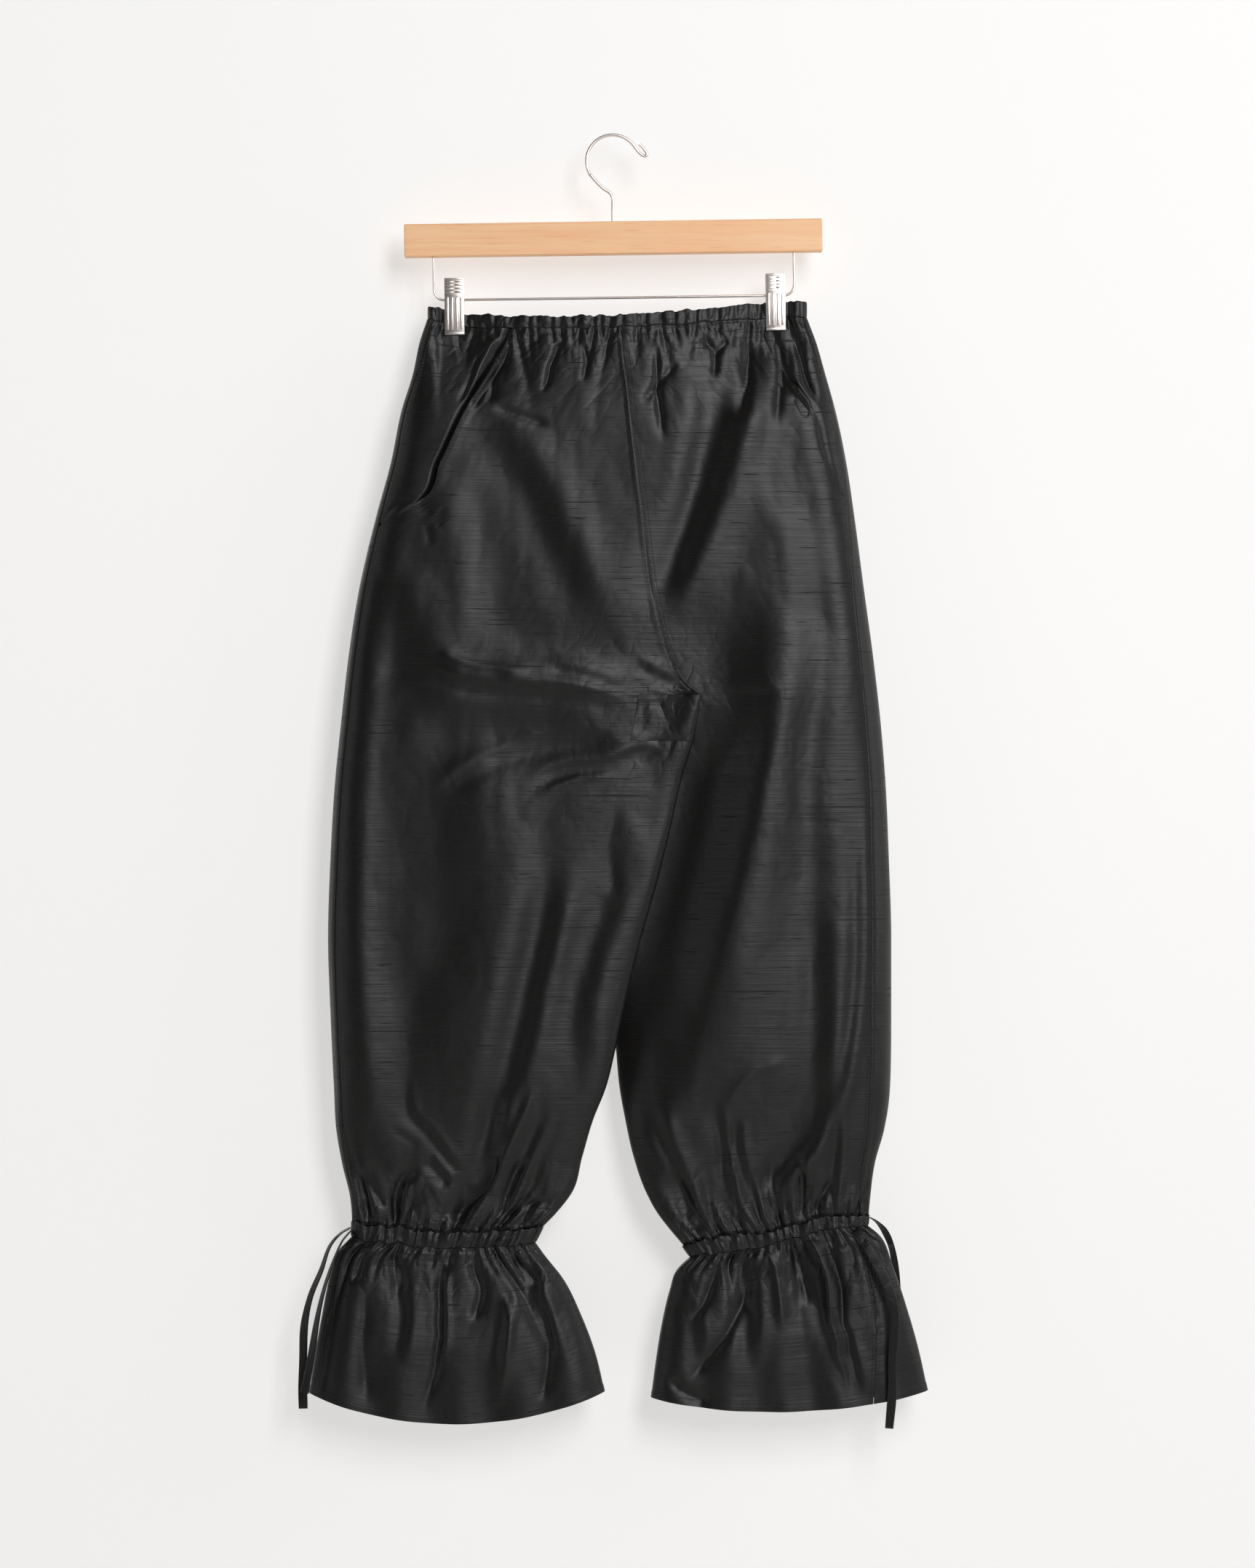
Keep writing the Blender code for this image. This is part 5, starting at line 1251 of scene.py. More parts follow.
def waistband():
    left, right = WAIST[0].x + BAND_END_INSET, WAIST[-1].x - BAND_END_INSET

    def x_of(share, _=0):
        return mix(left, right, share)

    def half_of(share):
        x = x_of(share)
        return read(WAIST, "half_depth", x) * edge_round(np.minimum(x - left, right - x), WAIST_ROUND)

    def pinch_of(face, x, share):
        depth = gathered(WAIST_GATHERS[face], x, 0)
        return np.clip(depth / WAIST_FULL_PINCH, 0, 1) * clip_pinch(x)

    def ends_of(share):
        x = x_of(share)
        return smooth(np.minimum(x - left, right - x) / BAND_END_FADE)

    def top_of(share):
        return read(WAIST, "top", x_of(share)) - BAND_TOP_GAP + seam_wobble(x_of(share) + 400)

    def bottom_of(share):
        return read(WAIST, "seam", x_of(share)) + BAND_OVERLAP + seam_wobble(x_of(share))

    return ring_band(
        "waistband_cloth",
        BAND_GATHERS * BAND_STEPS,
        x_of,
        half_of,
        top_of,
        bottom_of,
        0,
        pinch_of,
        1,
        ends_of,
    )


def ankle_casing(leg):
    outer, inner = ankle_ends(leg)
    first = RUFFLES[leg][0]

    def x_of(share, down):
        return mix(mix(outer, inner, share), mix(first.outer_x, first.inner_x, share), down)

    def pinch_of(face, x, share):
        depth = gathered(ANKLE_GATHERS[leg, face], share * ANKLE_WIDTH[leg], 0)
        return np.clip(depth / CASING_FULL_PINCH, 0, 1)

    def top_of(share):
        wobble = ANKLE_WOBBLE * seam_wobble(x_of(share, 0))
        return read(ANKLES, leg + "_top", share) - BAND_OVERLAP + wobble

    def bottom_of(share):
        return read(ANKLES, leg + "_bottom", share) + ANKLE_WOBBLE * seam_wobble(x_of(share, 1))

    def ends_of(share):
        return smooth(np.minimum(share, 1 - share) * abs(inner - outer) / CASING_END_FADE)

    return ring_band(
        "ankle_casing_cloth_" + leg,
        CASING_GATHERS * CASING_STEPS,
        x_of,
        lambda share: ankle_half(share, abs(inner - outer)),
        top_of,
        bottom_of,
        TUBE_MIDDLE,
        pinch_of,
        1 if leg == LEFT else -1,
        ends_of,
    )


def ankle_half(share, width):
    """Half the depth of the gathered ankle across its width."""
    edges = edge_round(share * width, ANKLE_ROUND) * edge_round((1 - share) * width, ANKLE_ROUND)
    return HALF_DEPTH * ANKLE_HALF_SHARE * edges


# Ruffles

RUFFLE_COLUMNS = 20
RUFFLE_ROWS = 74
RUFFLE_DENSITY = 6
RUFFLE_LENGTH = 132
RUFFLE_SPREAD = 0.6
RUFFLE_BELLY = 0.5
RUFFLE_WAVE_PHASE = 1.1
RUFFLE_EVEN_SHARE = 0.4
RUFFLE_LEVELLING = 0.12
RUFFLE_EDGE_FADE = 9
RUFFLE_CREASE_FADE = 12
RUFFLE_CLOTH_PLACE = 1000
SLOPE_STEP = 0.0004
HEM_WIDTH = 6
HEM_STEP = 0.3
HEM_STEP_WIDTH = 0.8


def ruffle_point(leg, face, share, down):
    """Point and outward direction on a ruffle at a share of its width and length."""
    rows = RUFFLES[leg]
    outer = np.stack([read(rows, "outer_x", down), read(rows, "outer_drop", down)])
    inner = np.stack([read(rows, "inner_x", down), read(rows, "inner_drop", down)])
    place = mix(outer, inner, share)
    seam = read(ANKLES, leg + "_bottom", share) - mix(rows[0].outer_drop, rows[0].inner_drop, share)
    belly = 4 * share * (1 - share)
    drop = place[1] + mix(seam, read(rows, "sag", down) * belly, smooth(down / RUFFLE_BELLY))
    top_x = mix(rows[0].outer_x, rows[0].inner_x, share)
    drop = drop + ANKLE_WOBBLE * seam_wobble(top_x) * np.exp(-down * RUFFLE_LENGTH / WOBBLE_LENGTH)
    width = np.abs(inner[0] - outer[0])
    flare = edge_round(share * width, RUFFLE_ROUND) * edge_round((1 - share) * width, RUFFLE_ROUND)
    half = mix(ankle_half(share, width), RUFFLE_HALF_DEPTH * flare, smooth(down / RUFFLE_SPREAD))
    phase = 2 * np.pi * RUFFLE_WAVES * share + RUFFLE_WAVE_PHASE
    wave = RUFFLE_WAVE_DEPTH * smooth(down) * flare * np.sin(phase)
    sign = -1 if face == FRONT else 1
    return np.stack([place[0], TUBE_MIDDLE + sign * half + wave, -drop], axis=-1)


def ruffle_normal(leg, face, share, down):
    aside = np.where(share < 0.5, SLOPE_STEP, -SLOPE_STEP)
    here = ruffle_point(leg, face, share, down)
    across = (ruffle_point(leg, face, share + aside, down) - here) / aside[:, None]
    lower = np.where(down < 0.5, SLOPE_STEP, -SLOPE_STEP)
    along = (ruffle_point(leg, face, share, down + lower) - here) / lower[:, None]
    outward = unit(np.cross(across, along))
    towards = outward[:, 1] * (-1 if face == FRONT else 1)
    middle = np.abs(share - 0.5) < 0.45
    flip = np.sign(np.sum(np.where(middle, towards, 0)))
    return outward * flip


def ruffle(leg, face):
    """Front or back of a ruffle, from the casing's lower seam to the hem."""
    wrap = WRAP_COLUMNS if face == BACK else 0
    block = (-wrap, RUFFLE_COLUMNS, 0, RUFFLE_ROWS)
    keys, faces, rows, column = sheet_grid([block], RUFFLE_DENSITY)
    down = rows / RUFFLE_ROWS
    seam = mix(*RUFFLE_SEAM_SHARE[leg], down)
    across = column / RUFFLE_COLUMNS
    share = ease(np.clip(across, 0, 1), True, True) * (1 - RUFFLE_EVEN_SHARE) + RUFFLE_EVEN_SHARE * across
    on_front = np.ones(len(keys), bool)
    if face == FRONT:
        share = mix(seam, 1, share)
    else:
        on_front = column < 0
        share = np.where(on_front, seam * (column / WRAP_COLUMNS) ** 2, share)
    points = by_face(on_front, lambda own: ruffle_point(leg, own, share, down))
    outward = by_face(on_front, lambda own: ruffle_normal(leg, own, share, down))
    outward = levelled(outward, smooth(1 - down / RUFFLE_LEVELLING))
    width = np.abs(RUFFLES[leg][0].inner_x - RUFFLES[leg][0].outer_x)
    below = down * RUFFLE_LENGTH
    hem = RUFFLE_LENGTH - below
    dent = ruffle_detail(leg, on_front, points, share, below, width)
    dent = dent - HEM_STEP * smooth((HEM_WIDTH - hem) / HEM_STEP_WIDTH)
    seam_gap = np.abs(share - seam) * width * (1 + down)
    along = walked(keys, points, 0) + CLOTH_PLACES[leg, face]
    cloth = np.stack([along, below + RUFFLE_CLOTH_PLACE], axis=-1)
    points = points - outward * dent[:, None]
    return Sheet(points, outward, faces, cloth, seam_gap, hem)


def ruffle_detail(leg, on_front, points, share, below, width):
    """Gathers, folds and creases of a ruffle; positive is a dent."""
    x, drop = points[:, 0], -points[:, 2]
    place = share * ANKLE_WIDTH[leg]
    ends = smooth(share * width / RUFFLE_EDGE_FADE) * smooth((1 - share) * width / RUFFLE_EDGE_FADE)
    gathers = by_face(on_front, lambda face: gathered(ANKLE_GATHERS[leg, face], place, below))
    creases = by_face(on_front, lambda face: crease_depth(face, x, drop) + fold_depth(face, x, drop))
    creases = creases * smooth(below / RUFFLE_CREASE_FADE)
    return (gathers - puffed(RUFFLE_PUFF, below) + creases) * ends


# Turning sheets into thin closed cloth

KEENEST_CORNER = 0.4


def border_edges(faces):
    """Directed edges that only one face uses."""
    used = {}
    for face in faces:
        for start, end in zip(face, face[1:] + face[:1]):
            used[(start, end)] = True
    return [edge for edge in used if (edge[1], edge[0]) not in used]


def drawn_in(sheet, distance):
    """The sheet's points with its border moved inward along the cloth."""
    points = sheet.points.copy()
    inward = {}
    for start, end in border_edges(sheet.faces):
        along = points[end] - points[start]
        facing = unit(sheet.normals[start] + sheet.normals[end])
        across = unit(np.cross(facing, along))
        for index in (start, end):
            inward.setdefault(index, []).append(across)
    for index, pushes in inward.items():
        if len(pushes) == 1:
            total = pushes[0]
        else:
            together = 1 + float(np.dot(pushes[0], pushes[1]))
            total = (pushes[0] + pushes[1]) / max(together, KEENEST_CORNER)
        points[index] = points[index] + total * distance
    return points


def faces_outward(sheet):
    """The sheet's faces, turned so that they look along its normals."""
    face = sheet.faces[len(sheet.faces) // 2]
    a, b, c = (sheet.points[index] for index in face[:3])
    looks = np.dot(np.cross(b - a, c - a), sheet.normals[face[0]])
    if looks > 0:
        return sheet.faces
    return [tuple(reversed(face)) for face in sheet.faces]


def cloth_shell(name, sheet):
    """Thin closed cloth: an outer and an inner skin joined round the border."""
    sheet = sheet._replace(faces=faces_outward(sheet))
    points = drawn_in(sheet, SEAM_GAP / 2)
    count = len(points)
    half_wall = sheet.normals * CLOTH_WALL / 2
    skins = np.concatenate([points + half_wall, points - half_wall])
    faces = list(sheet.faces)
    faces += [tuple(index + count for index in reversed(face)) for face in sheet.faces]
    border = border_edges(sheet.faces)
    faces += [(end, start, start + count, end + count) for start, end in border]
    keen = {frozenset((a + skin, b + skin)) for a, b in border for skin in (0, count)}
    cloth, seam, hem = (np.concatenate([own, own]) for own in (sheet.cloth, sheet.seam, sheet.hem))
    return make_cloth(name, skins, faces, cloth, seam, hem, keen)


def outward_faces(points, faces):
    """Faces of a closed mesh, all reversed if it is inside out."""
    corners = np.array([face[:3] for face in faces])
    a, b, c = (points[corners[:, i]] for i in range(3))
    if np.sum(a * np.cross(b, c)) > 0:
        return faces
    return [tuple(reversed(face)) for face in faces]


# Where the silk is most crumpled: how much, and over what length it fades
Crumple = namedtuple("Crumple", "amount fade")
CRUMPLE_EVERYWHERE = 0.06
CRUMPLE_LIMIT = 1.3
WAIST_CRUMPLE = Crumple(0.9, 24)
ANKLE_CRUMPLE = Crumple(1.3, 26)
CROTCH_CRUMPLE = Crumple(0.5, 45)
CASING_MIDDLE_DROP = PANEL_BOTTOM + 12
CROTCH_CRUMPLE_PLACE = (45, 495)
CROTCH_CRUMPLE_DEPTH = 6


def crumpled(crumple, away):
    return crumple.amount * np.exp(-away / crumple.fade)


def crumple_at(x, depth, drop):
    """How crumpled the silk is, most of all at its gathers and the front of the crotch."""
    waist = crumpled(WAIST_CRUMPLE, np.abs(drop - PANEL_TOP))
    ankle = crumpled(ANKLE_CRUMPLE, np.abs(drop - CASING_MIDDLE_DROP))
    from_crotch = np.hypot(x - CROTCH_CRUMPLE_PLACE[0], drop - CROTCH_CRUMPLE_PLACE[1])
    crotch = crumpled(CROTCH_CRUMPLE, from_crotch) * smooth(-depth / CROTCH_CRUMPLE_DEPTH)
    return np.clip(CRUMPLE_EVERYWHERE + waist + ankle + crotch, 0, CRUMPLE_LIMIT)


def make_cloth(name, points, faces, cloth, seam, hem, keen=()):
    """Mesh object with cloth coordinates in metres and distances from seams and hem in millimetres."""
    mesh = bpy.data.meshes.new(name)
    mesh.from_pydata([tuple(point) for point in points * MM], [], faces)
    mesh.update()
    corners = np.zeros(len(mesh.loops), int)
    mesh.loops.foreach_get("vertex_index", corners)
    layer = mesh.uv_layers.new(name="cloth")
    layer.uv.foreach_set("vector", (cloth[corners] * MM).astype(np.float32).ravel())
    crumple = crumple_at(points[:, 0], points[:, 1], -points[:, 2])
    for title, values in (("seam", seam), ("hem", hem), ("crumple", crumple)):
        attribute = mesh.attributes.new(title, "FLOAT", "POINT")
        attribute.data.foreach_set("value", values.astype(np.float32))
    mesh.shade_smooth()
    if keen:
        ends = np.zeros(2 * len(mesh.edges), int)
        mesh.edges.foreach_get("vertices", ends)
        sharp = [frozenset(pair) in keen for pair in ends.reshape(-1, 2).tolist()]
        mesh.attributes.new("sharp_edge", "BOOLEAN", "EDGE").data.foreach_set("value", sharp)
    mesh.materials.append(SILK)
    obj = bpy.data.objects.new(name, mesh)
    bpy.context.collection.objects.link(obj)
    return obj


# Materials

def add_node(tree, kind, **values):
    """New node with its settings and unlinked inputs; an input's name has _ for each space."""
    made = tree.nodes.new(kind)
    for key, value in values.items():
        title = key.replace("_", " ")
        if title in made.inputs:
            made.inputs[title].default_value = value
        else:
            setattr(made, key, value)
    return made


def math_node(tree, operation, first, second):
    """Arithmetic node; each side is a number or an output."""
    made = tree.nodes.new("ShaderNodeMath")
    made.operation = operation
    for index, value in enumerate((first, second)):
        if isinstance(value, (int, float)):
            made.inputs[index].default_value = value
        else:
            tree.links.new(value, made.inputs[index])
    return made.outputs[0]


def added(tree, base, extra, share):
    """The base with a share of the extra added."""
    return math_node(tree, "ADD", base, math_node(tree, "MULTIPLY", extra, share))


def stretched_noise(tree, source, scale, detail, roughness, place=(0, 0, 0)):
    """Noise on coordinates stretched by the scale."""
    mapping = add_node(tree, "ShaderNodeMapping")
    mapping.inputs["Scale"].default_value = scale
    mapping.inputs["Location"].default_value = place
    tree.links.new(source, mapping.inputs["Vector"])
    made = add_node(tree, "ShaderNodeTexNoise", Scale=1.0, Detail=detail, Roughness=roughness)
    tree.links.new(mapping.outputs[0], made.inputs["Vector"])
    return made.outputs["Fac"]


def band_of(tree, value, low, high):
    """0 below low and 1 above high."""
    made = add_node(tree, "ShaderNodeMapRange", clamp=True)
    made.inputs["From Min"].default_value = low
    made.inputs["From Max"].default_value = high
    tree.links.new(value, made.inputs["Value"])
    return made.outputs[0]


def colour_mix(tree, share, first, second):
    """Mix of two colours; each is a colour or an output."""
    made = tree.nodes.new("ShaderNodeMix")
    made.data_type = "RGBA"
    for index, value in ((6, first), (7, second)):
        if isinstance(value, tuple):
            made.inputs[index].default_value = value
        else:
            tree.links.new(value, made.inputs[index])
    tree.links.new(share, made.inputs[0])
    return made.outputs[2]


def new_material(name):
    material = bpy.data.materials.new(name)
    material.use_nodes = True
    return material, material.node_tree, material.node_tree.nodes["Principled BSDF"]


STITCH_PITCH = 0.0026
SEAM_STITCHES = (1.1, 3.6)
DARK_THREAD = (0.0020, 0.0015, 0.0012, 1)
PALE_THREAD = (0.0042, 0.0034, 0.0029, 1)
CLOUDY_THREAD = (0.0036, 0.0029, 0.0025, 1)
SLUB_THREAD = (0.0006, 0.0005, 0.0005, 1)
SILK_SHEEN = {
    "Sheen Weight": 0.02,
    "Sheen Roughness": 0.35,
    "Sheen Tint": (0.75, 0.78, 0.85, 1),
    "Specular IOR Level": 0.47,
    "Anisotropic": 0.45,
    "Anisotropic Rotation": 0.25,
}


def stitches(tree, distance, along, offset):
    """Row of short stitches at an offset from an edge, 1 on the thread."""
    away = math_node(tree, "ABSOLUTE", math_node(tree, "SUBTRACT", distance, offset), 0)
    row = band_of(tree, away, 0.55, 0.25)
    wave = math_node(tree, "SINE", math_node(tree, "MULTIPLY", along, 2 * math.pi / STITCH_PITCH), 0)
    return math_node(tree, "MULTIPLY", row, band_of(tree, wave, -0.7, -0.1))


RIDGE_LIMIT = 0.12


def ridges(tree, source, scale, place):
    """Creased noise with keen valleys."""
    value = stretched_noise(tree, source, scale, 1, 0.4, (place, place, 0))
    folded = math_node(tree, "ABSOLUTE", math_node(tree, "SUBTRACT", value, 0.5), 0)
    return math_node(tree, "MINIMUM", folded, RIDGE_LIMIT)


def silk_material():
    """Slubbed black silk: fine cross weave, dark slubs along the weft and stitching beside the seams."""
    material, tree, shader = new_material("slubbed_silk")
    links = tree.links
    cloth = add_node(tree, "ShaderNodeUVMap", uv_map="cloth").outputs[0]
    split = add_node(tree, "ShaderNodeSeparateXYZ")
    links.new(cloth, split.inputs[0])
    weft = stretched_noise(tree, cloth, (110, 2600, 1), 2, 0.6)
    warp = stretched_noise(tree, cloth, (2400, 160, 1), 1, 0.5, (3, 1, 0))
    bands = stretched_noise(tree, cloth, (9, 420, 1), 3, 0.65, (7, 2, 0))
    slub_source = stretched_noise(tree, cloth, (34, 760, 1), 1, 0.4, (11, 5, 0))
    slubs = band_of(tree, slub_source, 0.70, 0.75)
    long_source = stretched_noise(tree, cloth, (11, 640, 1), 1, 0.4, (2, 9, 0))
    long_slubs = band_of(tree, long_source, 0.715, 0.75)
    every_slub = math_node(tree, "MAXIMUM", slubs, long_slubs)
    cloudy = stretched_noise(tree, cloth, (7, 5, 1), 3, 0.5, (4, 4, 0))
    ground = colour_mix(tree, band_of(tree, bands, 0.35, 0.65), DARK_THREAD, PALE_THREAD)
    ground = colour_mix(tree, band_of(tree, cloudy, 0.4, 0.7), ground, CLOUDY_THREAD)
    colour = colour_mix(tree, every_slub, ground, SLUB_THREAD)
    links.new(colour, shader.inputs["Base Color"])
    shine = band_of(tree, bands, 0.3, 0.7)
    rough = math_node(tree, "ADD", math_node(tree, "MULTIPLY", shine, -0.08), 0.53)
    rough = added(tree, rough, every_slub, 0.3)
    links.new(rough, shader.inputs["Roughness"])
    seam = add_node(tree, "ShaderNodeAttribute", attribute_name="seam").outputs["Fac"]
    hem = add_node(tree, "ShaderNodeAttribute", attribute_name="hem").outputs["Fac"]
    near, far = (stitches(tree, seam, split.outputs[1], offset) for offset in SEAM_STITCHES)
    thread = math_node(tree, "MAXIMUM", near, far)
    thread = math_node(tree, "MAXIMUM", thread, stitches(tree, hem, split.outputs[0], HEM_WIDTH))
    height = math_node(tree, "MULTIPLY", weft, 0.14)
    for part, share in ((warp, 0.04), (bands, 1.7), (every_slub, 0.9), (thread, -1.6)):
        height = added(tree, height, part, share)
    bump = add_node(tree, "ShaderNodeBump", Strength=0.6, Distance=0.0003)
    links.new(height, bump.inputs["Height"])
    crumple = add_node(tree, "ShaderNodeAttribute", attribute_name="crumple").outputs["Fac"]
    facets = added(tree, ridges(tree, cloth, (34, 24, 1), 0), ridges(tree, cloth, (75, 60, 1), 5), 0.4)
    folds = add_node(tree, "ShaderNodeBump", Strength=1.0, Distance=0.010)
    links.new(math_node(tree, "MULTIPLY", facets, crumple), folds.inputs["Height"])
    links.new(folds.outputs[0], bump.inputs["Normal"])
    links.new(bump.outputs[0], shader.inputs["Normal"])
    for title, value in SILK_SHEEN.items():
        shader.inputs[title].default_value = value
    tangent = add_node(tree, "ShaderNodeTangent", direction_type="UV_MAP", uv_map="cloth")
    links.new(tangent.outputs[0], shader.inputs["Tangent"])
    return material


WOOD_DARK = (0.94, 0.49, 0.245, 1)
WOOD_PALE = (0.99, 0.63, 0.355, 1)
WOOD_WARM = (0.96, 0.52, 0.26, 1)
WOOD_STREAK = (0.84, 0.45, 0.215, 1)
PLATE_DARK = (0.84, 0.76, 0.70, 1)
PLATE_PALE = (0.92, 0.86, 0.81, 1)


def wood_material():
    """Pale sealed wood with long faint grain along the bar."""
    material, tree, shader = new_material("pale_wood")
    links = tree.links
    place = add_node(tree, "ShaderNodeTexCoord").outputs["Object"]
    grain = stretched_noise(tree, place, (9, 160, 260), 4, 0.6)
    streaks = stretched_noise(tree, place, (26, 500, 900), 2, 0.5, (3, 1, 2))
    broad = stretched_noise(tree, place, (4, 20, 36), 2, 0.5, (5, 2, 7))
    colour = colour_mix(tree, band_of(tree, grain, 0.3, 0.7), WOOD_DARK, WOOD_PALE)
    colour = colour_mix(tree, band_of(tree, broad, 0.55, 0.75), colour, WOOD_WARM)
    colour = colour_mix(tree, band_of(tree, streaks, 0.62, 0.7), colour, WOOD_STREAK)
    links.new(colour, shader.inputs["Base Color"])
    rough = math_node(tree, "ADD", math_node(tree, "MULTIPLY", grain, 0.12), 0.40)
    links.new(rough, shader.inputs["Roughness"])
    bump = add_node(tree, "ShaderNodeBump", Strength=0.12, Distance=0.0003)
    links.new(streaks, bump.inputs["Height"])
    links.new(bump.outputs[0], shader.inputs["Normal"])
    return material


def chrome_material():
    """Bright plated wire and pressed metal with faint brushed wear."""
    material, tree, shader = new_material("bright_plate")
    place = add_node(tree, "ShaderNodeTexCoord").outputs["Object"]
    scuffs = stretched_noise(tree, place, (900, 900, 240), 3, 0.6)
    rough = math_node(tree, "ADD", math_node(tree, "MULTIPLY", scuffs, 0.12), 0.24)
    tree.links.new(rough, shader.inputs["Roughness"])
    tint = colour_mix(tree, band_of(tree, scuffs, 0.3, 0.8), PLATE_DARK, PLATE_PALE)
    tree.links.new(tint, shader.inputs["Base Color"])
    shader.inputs["Metallic"].default_value = 1.0
    return material


SILK = silk_material()
WOOD = wood_material()
CHROME = chrome_material()


# Drawstring ends

TIE_SECTION = [(-1.0, 0.15), (-0.93, 0.42), (-0.5, 0.5), (0, 0.46), (0.5, 0.5), (0.93, 0.42),
               (1.0, -0.15), (0.93, -0.42), (0.5, -0.5), (0, -0.46), (-0.5, -0.5), (-0.93, -0.42)]
TIE_CLOTH_THICKNESS = 1.0
TIE_CLOTH_PLACE = 1300
TIE_SQUEEZE = 0.06
TIE_SQUEEZE_SPACING = 9
TIE_EDGE_GAP = 5
TIE_STEPS = 8


def tie(name, rows):
    """Flat folded strip swept along its smooth route; returns the piece and the route in metres."""
    lines = np.array([(row.x, row.y, -row.drop, row.turn) for row in rows], float)
    lines = rounded_line(lines, TIE_STEPS)
    route, turns = lines[:, :3], np.radians(lines[:, 3])
    along = unit(np.gradient(route, axis=0))
    flat = unit(np.cross(np.array([0, -1.0, 0]), along))
    across = unit(flat * np.cos(turns)[:, None] + np.array([0, -1.0, 0]) * np.sin(turns)[:, None])
    facing = unit(np.cross(along, across))
    walk = np.concatenate([[0], np.cumsum(np.linalg.norm(np.diff(route, axis=0), axis=1))])
    ring = len(TIE_SECTION)
    points, cloth = [], []
    for index in range(len(route)):
        squeeze = 1 - TIE_SQUEEZE * math.sin(walk[index] / TIE_SQUEEZE_SPACING)
        for side_share, thick_share in TIE_SECTION:
            offset = across[index] * side_share * TIE_WIDTH / 2 * squeeze
            offset = offset + facing[index] * thick_share * TIE_CLOTH_THICKNESS
            points.append(route[index] + offset)
            cloth.append((walk[index], side_share * TIE_WIDTH / 2 + TIE_CLOTH_PLACE))
    faces = []
    for index in range(len(route) - 1):
        for corner in range(ring):
            after = (corner + 1) % ring
            base = ring * index
            faces.append((base + corner, base + ring + corner, base + ring + after, base + after))
    faces.append(tuple(range(ring)))
    last = ring * (len(route) - 1)
    faces.append(tuple(last + corner for corner in reversed(range(ring))))
    points = np.array(points)
    edge = np.array([TIE_WIDTH / 2 * (1 - abs(side_share)) for side_share, _ in TIE_SECTION])
    edge = np.tile(edge, len(route)) + TIE_EDGE_GAP
    faces = outward_faces(points, faces)
    piece = make_cloth(name + "_cloth", points, faces, np.array(cloth), far_away(points), edge)
    return piece, route * MM, walk[-1] * MM


# Hanger

def wire(name, route, radius):
    """Round wire on a smooth route."""
    curve = bpy.data.curves.new(name, "CURVE")
    curve.dimensions = "3D"
    curve.bevel_depth = radius * MM
    curve.bevel_resolution = 5
    curve.use_fill_caps = True
    spline = curve.splines.new("POLY")
    spline.points.add(len(route) - 1)
    for point, place in zip(spline.points, route):
        point.co = (place[0] * MM, place[1] * MM, place[2] * MM, 1)
    curve.materials.append(CHROME)
    obj = bpy.data.objects.new(name, curve)
    bpy.context.collection.objects.link(obj)
    return obj


def arc(centre, radius, start, end, steps):
    """Points of an arc in the hanger's plane; angles in degrees from +X towards +Z."""
    points = []
    for step in range(steps + 1):
        angle = math.radians(mix(start, end, step / steps))
        points.append((centre[0] + radius * math.cos(angle), 0, centre[1] + radius * math.sin(angle)))
    return points


def tilted(points):
    """Places on the hanger's frame, turned with its tilt."""
    angle = math.radians(HANGER_TILT)
    turned = []
    for x, y, z in points:
        turned.append((
            BAR_SHIFT + x * math.cos(angle) - z * math.sin(angle),
            y,
            -BAR_DROP + x * math.sin(angle) + z * math.cos(angle),
        ))
    return turned


HOOK_NECK = [(0, -62), (0, -54), (-0.8, -50.5), (-3, -47.5), (-9.5, -43)]
HOOK_TIP = [(22.5, -13.5), (26, -16.2), (28.6, -16.4), (29.2, -14.2), (26.5, -10.2), (22.8, -6.4)]
HOOK_ARC = (214, 34)
HOOK_ARC_STEPS = 40
RAIL_ARC_STEPS = 14


def hanger_hook():
    centre = (0, HOOK_WIRE_RADIUS - HOOK_RADIUS)
    foot = -(BAR_DROP - BAR_HEIGHT / 2 - SEAT_GAP)
    neck = [(x, 0, z) for x, z in [(0, foot)] + HOOK_NECK]
    tip = [(x, 0, z) for x, z in HOOK_TIP]
    route = neck + arc(centre, HOOK_RADIUS, *HOOK_ARC, HOOK_ARC_STEPS) + tip
    route = rounded_line(route, 4)
    return wire("hook_wire", route, HOOK_WIRE_RADIUS)


def hanger_rail():
    top = -BAR_HEIGHT / 2 - SEAT_GAP
    low = -(RAIL_DROP - BAR_DROP)
    left = arc((-RAIL_HALF_LENGTH + RAIL_CORNER, low + RAIL_CORNER), RAIL_CORNER, 180, 270, RAIL_ARC_STEPS)
    right = arc((RAIL_HALF_LENGTH - RAIL_CORNER, low + RAIL_CORNER), RAIL_CORNER, 270, 360, RAIL_ARC_STEPS)
    route = [(-RAIL_HALF_LENGTH, 0, top)] + left + right + [(RAIL_HALF_LENGTH, 0, top)]
    return wire("rail_wire", tilted(route), RAIL_WIRE_RADIUS)


def pressed_bar(shape, low, high, bevel):
    """Bevelled block between two corners."""
    made = bmesh.ops.create_cube(shape, size=1)["verts"]
    size = [high[axis] - low[axis] for axis in range(3)]
    middle = [(high[axis] + low[axis]) / 2 for axis in range(3)]
    bmesh.ops.scale(shape, verts=made, vec=size)
    bmesh.ops.translate(shape, verts=made, vec=middle)
    edges = {edge for vert in made for edge in vert.link_edges}
    bmesh.ops.bevel(shape, geom=list(edges), offset=bevel, segments=3, profile=0.5, affect="EDGES")


